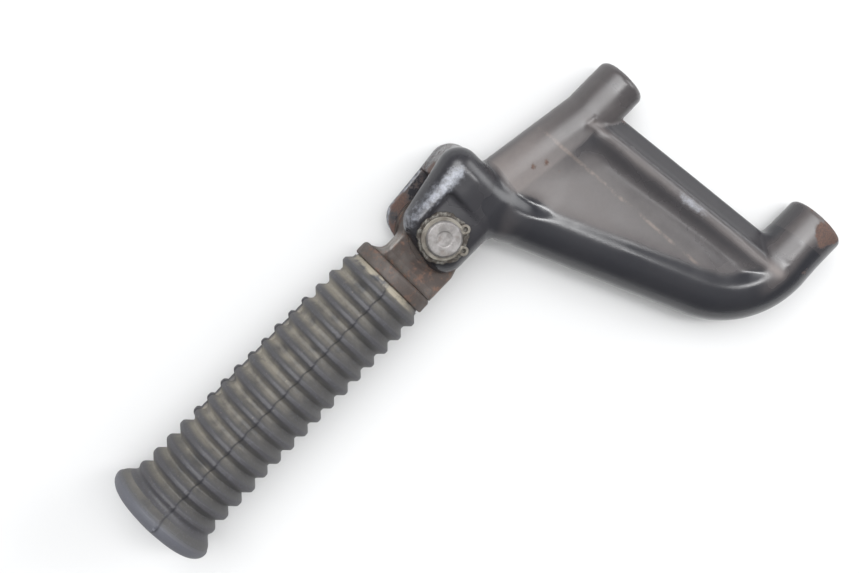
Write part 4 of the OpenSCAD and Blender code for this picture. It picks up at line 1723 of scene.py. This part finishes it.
@dataclass(frozen=True)
class Tongue:
    """The forged eye that swings in the yoke, and the collar that the peg is welded to."""

    places: Places
    low: float = -4.2
    high: float = 4.8
    eye_r: float = 11.4
    drop: float = 13.6
    heel_drop: float = 12.0
    rise: float = 8.4
    heel_back: float = 11.7
    heel_bevel: float = 2.1
    hole_r: float = 6.05
    neck_back: float = 7.0
    over: float = 2.0
    edge: float = 0.6
    eye_blend: float = 2.0
    hole_edge: float = 0.4
    step: float = 0.38
    neck_up: Ramp = (0.2, 0.4)
    neck_fade: float = -3.0
    neck_rubbed: float = 1.6
    bend_reach: float = 0.5
    worn_bend: Ramp = (0.4, 1.0)
    edge_rubbed: float = 0.6
    root: float = 4.6
    root_less: float = 1.6
    root_side: Ramp = (3.0, 3.0)
    root_r: float = 13.9
    root_cone: float = 0.4
    root_sink: float = 0.02
    root_slack: float = 0.9
    root_wave: tuple[float, float, float, float] = (0.07, 1.9, 0.5, 1.7)
    root_step: float = 0.33
    root_up: Ramp = (0.1, 0.5)
    root_rise: float = 4.0
    root_rubbed: Pair = (0.1, 0.9)
    collar_bore: float = 6.0
    collar_round: float = 0.7
    collar_edge: float = 1.4
    collar_step: float = 0.7
    collar_steps: int = 128
    collar_less: float = 0.12
    collar_waves: tuple[Triple, ...] = ((0.10, 3, 1.0), (0.07, 8, 0.0))
    collar_rubbed: float = 0.15
    rubbed_rim: float = 1.4

    def plate(self) -> Solid:
        """The tongue without its bore."""
        x, y = self.places.pivot[:2]
        e = self.edge
        back = x + self.heel_back - e
        outline = [(self.places.collar_face - 1, y + self.rise - e), (x, y + self.rise - e)]
        outline += [(x + (self.eye_r - e) * math.cos(a), y + (self.eye_r - e) * math.sin(a))
                    for a in np.radians(np.arange(130, -1, -10))]
        low, heel = y - self.drop + e, y - self.heel_drop + e
        outline += [(back, y - self.over), (back, heel + self.heel_bevel), (back - self.heel_bevel, heel),
                    (x - self.over, heel), (x - self.neck_back, low), (self.places.collar_face - 1, low)]
        return prism(outline, self.low, self.high, e)

    def build(self, steel: Material) -> None:
        """Makes the tongue."""
        x, y = self.places.pivot[:2]
        eye = drum(self.places.pivot, 2, self.eye_r, self.low, self.high, self.edge)
        bore = drum(self.places.pivot, 2, self.hole_r, self.low - 1, self.high + 1)
        solid = self.plate().join(eye, self.eye_blend).cut(bore, self.hole_edge)
        keep = Solid(lambda p: np.maximum(solid(p), self.places.collar_face - p[:, 0]))
        low = (self.places.collar_face, y - self.drop - 1, self.low)
        high = (x + self.heel_back + 1, y + self.eye_r + 1, self.high)
        vertices, quads = Mesher(self.step).mesh(keep, low, high)
        slope = gradient(solid, vertices)
        bend = curvature(solid, vertices, self.bend_reach)
        neck = ramp(slope[:, 1], *self.neck_up) * ramp(vertices[:, 0], x - self.neck_back, self.neck_fade)
        rubbed = self.neck_rubbed * neck + self.edge_rubbed * ramp(bend, *self.worn_bend)
        piece = Shape(vertices, quads, {"rubbed": rubbed}).piece("tongue_forged")
        finish_piece(piece, steel, Body.PEG, Slot.RUSTY, "tongue")

    def root_fillet(self, steel: Material) -> None:
        """Makes the fillet where the tongue meets the collar."""
        face, y = self.places.collar_face, self.places.pivot[1]
        plate = self.plate()
        high, per_y, shift, per_z = self.root_wave

        def distance(p: Array) -> Array:
            """Distance to the fillet, which is fuller on top than at the sides."""
            reach = self.root - self.root_less * ramp(np.abs(p[:, 2]), *self.root_side)
            a = np.maximum(reach - np.maximum(plate(p), 0), 0)
            b = np.maximum(reach - np.maximum(p[:, 0] - face, 0), 0)
            uneven = high * np.sin(per_y * p[:, 1] + shift) * np.cos(per_z * p[:, 2])
            spoke = np.hypot(p[:, 1] - y, p[:, 2])
            cone = spoke - self.root_r + self.root_cone * (p[:, 0] - face)
            fillet = np.maximum(reach - np.hypot(a, b) + uneven, cone)
            return np.maximum(fillet, face - self.root_sink - p[:, 0]) * self.root_slack

        corner = (face - 0.5, y - self.drop - 4, self.low - 4)
        other = (face + self.root + 1, y + self.rise + 5, self.high + 4)
        fillet = Solid(distance)
        vertices, quads = Mesher(self.root_step).mesh(fillet, corner, other)
        slope = gradient(fillet, vertices)
        upper = ramp(slope[:, 1], *self.root_up) * ramp(vertices[:, 1], y, self.root_rise)
        least, more = self.root_rubbed
        piece = Shape(vertices, quads, {"rubbed": least + more * upper}).piece("collar_weld_fillet")
        finish_piece(piece, steel, Body.PEG, Slot.RUSTY, "collar_weld")

    def collar(self, steel: Material) -> None:
        """Makes the round collar, a little uneven round its rim."""
        low, high = box_mm("collar_plate")
        radius = (high[1] - low[1]) / 2
        length = high[0] - low[0]
        bore = self.collar_bore
        profile = rounded([(bore, 0, 0), (radius, 0, self.collar_round), (radius, length, self.collar_edge),
                           (bore, length, 0)], True, 5)
        profile = np.concatenate([refined(profile, self.collar_step), profile[:1]])[:-1]

        def warp(r: Array, angle: Array, along: Array) -> Array:
            """Makes the rim uneven."""
            uneven = ripple(angle, *self.collar_waves, (0.05, 19, along))
            return r - (r > radius - 1) * (self.collar_less + uneven)

        centre = np.array([low[0], (low[1] + high[1]) / 2, (low[2] + high[2]) / 2])
        shape = Lathe(Axis(centre, X, Y), even_angles(self.collar_steps)).turn(profile, True, warp)
        from_rim = shape.marks["radius"] - radius
        shape.marks["rubbed"] = self.collar_rubbed * ramp(from_rim, -self.rubbed_rim, self.rubbed_rim)
        finish_piece(shape.piece("collar_disc"), steel, Body.PEG, Slot.RUSTY, "collar_plate")


@dataclass(frozen=True)
class Grip:
    """The ribbed rubber sleeve with its flared end, mould seam and tread."""

    places: Places
    bore_r: float = 11.0
    lip_r: float = 13.5
    lip_w: float = 2.4
    valley_r: float = 13.9
    rib_r: float = 16.0
    big_rib_r: float = 16.4
    ribs: int = 16
    first: float = 4.3
    last: float = 98.8
    crest_w: float = 1.3
    flank: float = 0.92
    soften: float = 0.2
    soften_end: float = 0.6
    flare_r: float = 19.8
    flare_round: float = 3.8
    flare_w: float = 5.0
    flare_dip: float = 15.7
    flare_from: float = 100.6
    body_len: float = 109.6
    dome: float = 2.5
    mouth: float = 1.8
    big_ribs: int = 4
    sample: float = 0.1
    straight: float = 0.004
    dome_edge: float = 2.6
    gate: float = 0.15
    seam_turn: float = -0.14
    seam_wave: float = 0.24
    seam_high: float = 0.28
    seam_w: float = 0.55
    seam_from: Ramp = (1.0, 2.0)
    seam_to: Ramp = (-1.0, -3.0)
    # Where the painted shadow line lies beside the seam, and how wide it is.
    line: Pair = (0.45, 0.3)
    nub: Pair = (0.9, 0.8)
    nub_from: Ramp = (-2.6, 0.6)
    nub_to: Ramp = (-0.3, -0.6)
    tread: tuple[int, int] = (4, 12)
    tread_half: float = 0.16
    tread_soft: float = 0.03
    tread_over: float = 1.6
    tread_high: float = 0.45
    tread_ramp: Ramp = (0.6, 1.0)
    web_high: float = 1.3
    rib_jitter: float = 0.12
    lip_edge: float = 0.8
    flare_valley: float = 0.45
    flare_fade: Ramp = (106.5, -4.0)
    dusty_side: Triple = (0.37, 0.70, 0.05)
    dusty_end: Ramp = (60.0, 35.0)
    less_dusty: float = 0.3
    fresh_from: Ramp = (0.8, 0.5)
    haze: Triple = (0.6, 3.0, 3.0)
    worn: float = 0.85
    worn_lip: Ramp = (2.5, -0.7)
    worn_side: Ramp = (-0.95, 0.8)
    seed: int = 11

    def pitch(self) -> float:
        """From one rib to the next."""
        return (self.last - self.first) / (self.ribs - 1)

    def outline(self, along: Array, jitter: Array) -> Array:
        """The sleeve's radius without its end.

        Args:
            along: Places along the axis from its open end.
            jitter: How much each rib stands out more.

        Returns:
            The radius at each place.
        """
        radius = np.full(len(along), self.valley_r)
        radius = np.where(along < self.lip_w, self.lip_r, radius)
        for rib in range(self.ribs):
            centre = self.first + rib * self.pitch()
            crest = (self.rib_r if rib < self.ribs - self.big_ribs else self.big_rib_r) + jitter[rib]
            past = np.abs(along - centre) - self.crest_w / 2
            height = np.clip(1 - past / ((crest - self.valley_r) * self.flank), 0, 1)
            radius = np.maximum(radius, self.valley_r + (crest - self.valley_r) * height)
        rise = smooth_step((along - self.flare_from) / (self.body_len - self.flare_w + 1.0 - self.flare_from))
        skirt = self.flare_dip + (self.flare_r - self.flare_dip) * rise
        radius = np.maximum(radius, np.where(along > self.last, skirt, 0))
        soft = []
        for sigma in (self.soften, self.soften_end):
            kernel = np.exp(-0.5 * (np.arange(-12, 13) * self.sample / sigma) ** 2)
            soft.append(np.convolve(np.pad(radius, 12, "edge"), kernel / kernel.sum(), "valid"))
        return soft[0] + (soft[1] - soft[0]) * ramp(along, self.last, 0.8)

    def profile(self) -> Array:
        """The turned profile, from the bore's bottom round the outside to the dome."""
        rng = np.random.default_rng(self.seed)
        jitter = rng.uniform(-self.rib_jitter, self.rib_jitter, self.ribs)
        base, top = self.body_len - self.flare_w, self.body_len + self.dome
        along = np.arange(0.0, base, self.sample)
        outer = np.stack([self.outline(along, jitter), along], 1)[round(self.lip_edge / self.sample):]
        keep = np.ones(len(outer), bool)
        keep[1::2] = np.abs(np.diff(outer[:, 0], 2, append=0, prepend=0))[1::2] > self.straight
        flare = rounded([(float(outer[-1, 0]), base, 0), (self.flare_r, base + 1.0, 0.6),
                         (self.flare_r, self.body_len, self.flare_round), (0, self.body_len, 0)], False, 10)
        flare = refined(flare, 0.7)[:-1]
        rise = self.dome * (1 - np.clip(flare[:, 0] / (self.flare_r - self.flare_round), 0, 1) ** 2)
        flare[:, 1] += np.where(flare[:, 1] > self.body_len - 0.05, rise, 0)
        middle = np.array([[2.2, top - self.gate], [1.6, top], [0.9, top], [0, top]])
        bottom = self.body_len - 4
        bore = rounded([(0, bottom, 0), (self.bore_r, bottom, 0.8), (self.bore_r, self.mouth, 0.3),
                        (self.bore_r + self.mouth * 0.6, 0, 0.2), (self.lip_r - 0.1, 0, 0.5),
                        (self.lip_r, self.lip_edge, 0)], False)
        return np.concatenate([refined(bore, 2.0), outer[keep], flare[flare[:, 0] > self.dome_edge], middle])

    def angles(self) -> Array:
        """Angles from +Y, closer together at the seams and at the tread."""
        even = np.radians(np.arange(0, 360, 2.4))
        seams = np.concatenate([self.seam_at(side) + np.radians(np.arange(-8, 8.1, 0.5)) for side in (1, -1)])
        tread = np.radians(np.arange(-13, 13.1, 0.65)) - self.seam_turn
        return np.unique(np.round(np.concatenate([even, seams, tread]) % math.tau, 5))

    def seam_at(self, side: int) -> float:
        """The lathe angle of one seam: 1 for the first, -1 for the other."""
        return -(side * math.pi / 2 + self.seam_turn)

    def wave(self, along: Array) -> Array:
        """How far the seams wander sideways at each place along the axis."""
        return self.seam_wave * np.sin(math.tau * (along - self.first) / self.pitch())

    def seam_shadow_line(self, spoke: Array, along: Array) -> Array:
        """The painted shadow beside each raised seam: a dark line along one side of it.

        Args:
            spoke: Angles from +Y toward +Z.
            along: Places from the open end.

        Returns:
            How dark it is at each point.
        """
        wave = self.wave(along)
        line = np.zeros_like(spoke)
        for side in (1, -1):
            off = wrapped(spoke - side * math.pi / 2 - self.seam_turn)
            line += bell((side * off * self.rib_r - side * wave - self.line[0]) / self.line[1])
        return np.clip(line, 0, 1) * ramp(along, self.body_len + 2, -2)

    def warp(self, radius: Array, angle: Array, along: Array) -> Array:
        """Raises the mould seams and the tread, and makes the ribs a little uneven.

        Args:
            radius: Distances from the axis.
            angle: Angles from +Y.
            along: Places from the open end.

        Returns:
            The new distances.
        """
        outside = radius > self.lip_r - 0.6
        wave = self.wave(along)
        seam = np.zeros_like(radius)
        for side in (1, -1):
            seam += bell(np.abs(wrapped(angle - self.seam_at(side)) * radius - wave) / self.seam_w)
        length, (high, half) = self.body_len, self.nub
        on_body = ramp(along, *self.seam_from) * ramp(along, length + self.seam_to[0], self.seam_to[1])
        at_lip = ramp(along - length, *self.nub_from) * ramp(along, length + self.nub_to[0], self.nub_to[1])
        nub = high * np.exp(-(wrapped(angle - self.seam_at(1)) * radius / half) ** 4) * at_lip
        raised = radius + self.seam_high * seam * on_body + nub
        off = np.abs(wrapped(angle + self.seam_turn))
        first, last = (self.first + (rib - 1) * self.pitch() for rib in self.tread)
        on = ramp(along - first, -self.tread_over, 0.5) * ramp(along, last + self.tread_over, -0.5)
        edge = smooth_step((self.tread_half - off) / self.tread_soft + 0.5)
        cap = raised + self.tread_high * ramp(radius - self.valley_r, *self.tread_ramp)
        web = np.maximum(cap, self.valley_r + self.web_high)
        raised = raised + edge * on * (web - raised)
        wobble = ripple(angle, (0.06, 2, along), (0.04, 5, -0.7 * along))
        return np.where(outside, raised + wobble, radius)

    def build(self, rubber: Material) -> None:
        """Makes the sleeve."""
        axis = Axis(np.array([self.places.rubber_face, self.places.pivot[1], 0.0]), -X, Y)
        shape = Lathe(axis, self.angles()).turn(self.profile(), False, self.warp)
        x, y, z = (shape.vertices - self.places.pivot * Y).T
        along = self.places.rubber_face - x
        side, radius, spoke = y / self.rib_r, np.hypot(y, z), np.arctan2(z, y)
        crest = (self.rib_r - radius) / (self.rib_r - self.valley_r)
        in_ribs = (along > self.lip_w) & (along < self.flare_from + 2)
        first, last = (self.first + (rib - 1) * self.pitch() for rib in self.tread)
        on_tread = ramp(np.abs(spoke - self.seam_turn), self.tread_half + 0.01, -self.tread_soft)
        in_tread = (along > first - 1.5) * (along < last + 1.5)
        in_flare = self.flare_valley * ramp(along, *self.flare_fade) * (along > self.body_len / 2)
        even, more, least = self.dusty_side
        dusty = np.clip(even + more * side, least, 1)
        strong, start, reach = self.haze
        shape.marks = {
            "valley": np.where(in_ribs, np.clip(crest, 0, 1), in_flare),
            "upper": dusty * (1 - self.less_dusty * ramp(along, *self.dusty_end)),
            "fresh_and_shadow": on_tread * in_tread * ramp(radius - self.valley_r, *self.fresh_from),
            "haze": strong * ramp(along - self.flare_from, start, reach),
            # The painted shadow line beside each mould seam.
            "seam": self.seam_shadow_line(spoke, along),
            "worn": self.worn * ramp(along, *self.worn_lip) * ramp(side, *self.worn_side),
        }
        finish_piece(shape.piece("rubber_sleeve", 32), rubber, Body.PEG, Slot.RUBBER, "rubber_grip")


# The studio


def toward(azimuth: float, elevation: float) -> Triple:
    """The direction with an azimuth and an elevation in degrees."""
    turn, rise = math.radians(azimuth), math.radians(elevation)
    return math.cos(turn) * math.cos(rise), math.sin(turn) * math.cos(rise), math.sin(rise)


@dataclass(frozen=True)
class Softbox:
    """A soft lamp: where it hangs and what it lights, as directions, and its size."""

    azimuth: float
    elevation: float
    distance: float
    size: Pair
    radiance: float
    roll: float = 0.0

    def hang(self, name: str, target: Vector) -> None:
        """Hangs the lamp.

        Args:
            name: The lamp's name.
            target: What it points at, in metres.
        """
        away = Vector(toward(self.azimuth, self.elevation))
        lamp = bpy.data.lights.new(name, "AREA")
        lamp.shape = "RECTANGLE"
        lamp.size, lamp.size_y = self.size
        lamp.energy = self.radiance * math.pi * self.size[0] * self.size[1]
        made = bpy.data.objects.new(name, lamp)
        bpy.context.scene.collection.objects.link(made)
        made.location = target + away * self.distance
        rolled = Quaternion((0.0, 0.0, 1.0), math.radians(self.roll))
        made.rotation_euler = (away.to_track_quat("Z", "Y") @ rolled).to_euler()


@dataclass(frozen=True)
class Glow:
    """A soft bright place in the sky: its direction and radii in degrees, and its brightness."""

    azimuth: float
    elevation: float
    inner: float
    outer: float
    radiance: float

    def add(self, graph: Graph, direction: Value) -> Value:
        """How bright it makes each direction.

        Args:
            graph: The world's graph.
            direction: The direction that is looked at.

        Returns:
            The added brightness.
        """
        both = {0: direction, 1: toward(self.azimuth, self.elevation)}
        near = graph.node("ShaderNodeVectorMath", {"operation": "DOT_PRODUCT"}, both, "Value")
        edge, core = math.cos(math.radians(self.outer)), math.cos(math.radians(self.inner))
        return self.radiance * near.between(edge, core)


@dataclass(frozen=True)
class Studio:
    """The camera, the pale floor that the assembly lies on, the sky and one lamp."""

    camera_at: Triple = (-0.118418, 0.200893, 0.464057)
    camera_turn: Triple = (-9.4059, -10.8045, -44.7008)
    lens: float = 60.349
    floor_height: float = -15.45
    floor_lean: Pair = (0.0339, -0.01345)
    floor_half: float = 2.5
    floor_grey: float = 0.64
    floor_glow: float = 0.12
    sky_light: Triple = (0.26, 0.25, 0.35)
    overhead: Softbox = Softbox(-10.0, 73.0, 1.1, (0.5, 0.14), 15.0, 46.0)
    glows: tuple[Glow, ...] = (Glow(78.0, 60.0, 8.0, 31.0, 6.4), Glow(-22.0, 30.0, 6.0, 24.0, 4.6),
                               Glow(73.0, 77.0, 3.0, 13.0, 4.5))

    def build(self, places: Places) -> None:
        """Makes everything round the object.

        Args:
            places: The shared points.
        """
        self.camera()
        self.floor(places)
        self.sky()
        target = Vector((places.pivot * MM).tolist())
        self.overhead.hang("overhead_softbox", target)
        bpy.context.scene.view_settings.view_transform = "Standard"
        log.info("studio: camera, floor, sky and one lamp")

    def camera(self) -> None:
        """Places the camera."""
        data = bpy.data.cameras.new("camera")
        data.sensor_width = 36.0
        data.lens = self.lens
        data.clip_start, data.clip_end = 0.01, 20.0
        made = bpy.data.objects.new("camera", data)
        made.location = self.camera_at
        made.rotation_euler = Euler([math.radians(a) for a in self.camera_turn])
        bpy.context.scene.collection.objects.link(made)
        bpy.context.scene.camera = made

    def floor(self, places: Places) -> None:
        """Lays the floor under the three points that the assembly rests on."""
        x, y = places.pivot[:2]
        half = self.floor_half / MM
        corners = [(x + dx * half, y + dy * half) for dx, dy in ((-1, -1), (1, -1), (1, 1), (-1, 1))]
        vertices = np.array([(cx, cy, self.floor_height + self.floor_lean[0] * (cx - x)
                              + self.floor_lean[1] * (cy - y)) for cx, cy in corners])
        piece = Shape(vertices, [(0, 1, 2, 3)], {}).piece("floor")
        material = bpy.data.materials.new("Floor")
        material.use_nodes = True
        graph = Graph(material.node_tree)
        grey = (self.floor_grey,) * 3
        cloth = graph.node("ShaderNodeBsdfDiffuse", {}, {"Color": grey})
        glow = graph.node("ShaderNodeEmission", {}, {"Color": (1.0, 1.0, 1.0), "Strength": 1.0})
        seen = self.seen(graph)
        mixed = graph.node("ShaderNodeMixShader", {}, {0: seen * self.floor_glow, 1: cloth, 2: glow})
        graph.node("ShaderNodeOutputMaterial", {}, {"Surface": mixed})
        piece.data.materials.append(material)

    def seen(self, graph: Graph) -> Value:
        """1 for rays from the camera or from a mirror or glass, and 0 for the rest."""
        camera = graph.node("ShaderNodeLightPath", {}, {}, "Is Camera Ray")
        glossy = graph.node("ShaderNodeLightPath", {}, {}, "Is Glossy Ray")
        through = graph.node("ShaderNodeLightPath", {}, {}, "Is Transmission Ray")
        return camera.most(glossy).most(through)

    def sky(self) -> None:
        """Makes the surroundings: an even grey, brighter overhead and low down, with the soft glows."""
        world = bpy.data.worlds.new("studio")
        world.use_nodes = True
        bpy.context.scene.world = world
        graph = Graph(world.node_tree)
        direction = graph.node("ShaderNodeTexCoord", {}, {}, "Generated")
        up = graph.part(direction, "Z")
        even, overhead, low = self.sky_light
        strength = even + overhead * up.between(0.6, 1.0) + low * (1.0 - up.between(0.0, 0.3))
        for glow in self.glows:
            strength = strength + glow.add(graph, direction)
        sky = graph.node("ShaderNodeBackground", {}, {"Color": (0.98, 0.99, 1.0), "Strength": strength})
        white = graph.node("ShaderNodeBackground", {}, {"Color": (1.0, 1.0, 1.0), "Strength": 1.0})
        camera = graph.node("ShaderNodeLightPath", {}, {}, "Is Camera Ray")
        mixed = graph.node("ShaderNodeMixShader", {}, {0: camera, 1: sky, 2: white})
        graph.node("ShaderNodeOutputWorld", {}, {"Surface": mixed})


# Everything in order


def dress(material: Material, *nodes: str) -> None:
    """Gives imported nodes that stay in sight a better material.

    Args:
        material: The material.
        nodes: The nodes' names.
    """
    for name in nodes:
        node = frame["nodes"][name]
        node.data.materials.clear()
        node.data.materials.append(material)
        log.info("%s: keeps its packed shape, finished as %s", name, material.name)


def main() -> None:
    """Builds every sub-assembly, then the studio."""
    logging.basicConfig(level=logging.INFO, format="%(name)s: %(message)s")
    places = Places.read()
    paint = BlackEnamel().material()
    rusty = RustySteel().material()
    bare = BareSteel().material()
    zinc = ZincPlate().material()
    rubber = DustyRubber().material()
    yoke = Yoke(places)
    # The yoke's worn colour is a pale bluish white, so that its scuffed band also paints the key light's
    # highlight.
    yoke.build(BlackEnamel(worn=srgb(188, 192, 202), gloss=0.17).material())
    Shells(places, yoke).build(paint)
    worn_end = (Spot((-3.8, 0.2, 10.5), 4.5, 1.1), Spot((-6.5, -2.5, 10), 5.0, 0.65),
                Spot((-1.5, -4.5, 9), 4.0, 0.7))
    # The lower boss's last figure lays dust on its lit side, partly a painted highlight.
    Boss(places, "lower_boss", places.lower_end, places.lower_r, 16.3, 0.5, 0.12, worn_end, 0.22).build(paint)
    Boss(places, "upper_boss", places.upper_end, places.upper_r, 18.0, 0.15, 0.23, rounding=2.4).build(paint)
    spring = BareSteel(bright=srgb(126, 122, 114), dull=srgb(94, 89, 82), metallic=0.5).material()
    PivotSet(places).build(bare, zinc, spring)
    tongue = Tongue(places)
    tongue.build(rusty)
    tongue.root_fillet(rusty)
    tongue.collar(rusty)
    Grip(places).build(rubber)
    dress(bare, "detent_spring", "detent_ball")
    dress(rusty, "spring_washer", "detent_plate", "core_tube", "core_flange", "core_weld")
    Studio().build(places)


if __name__ == "__main__":
    main()
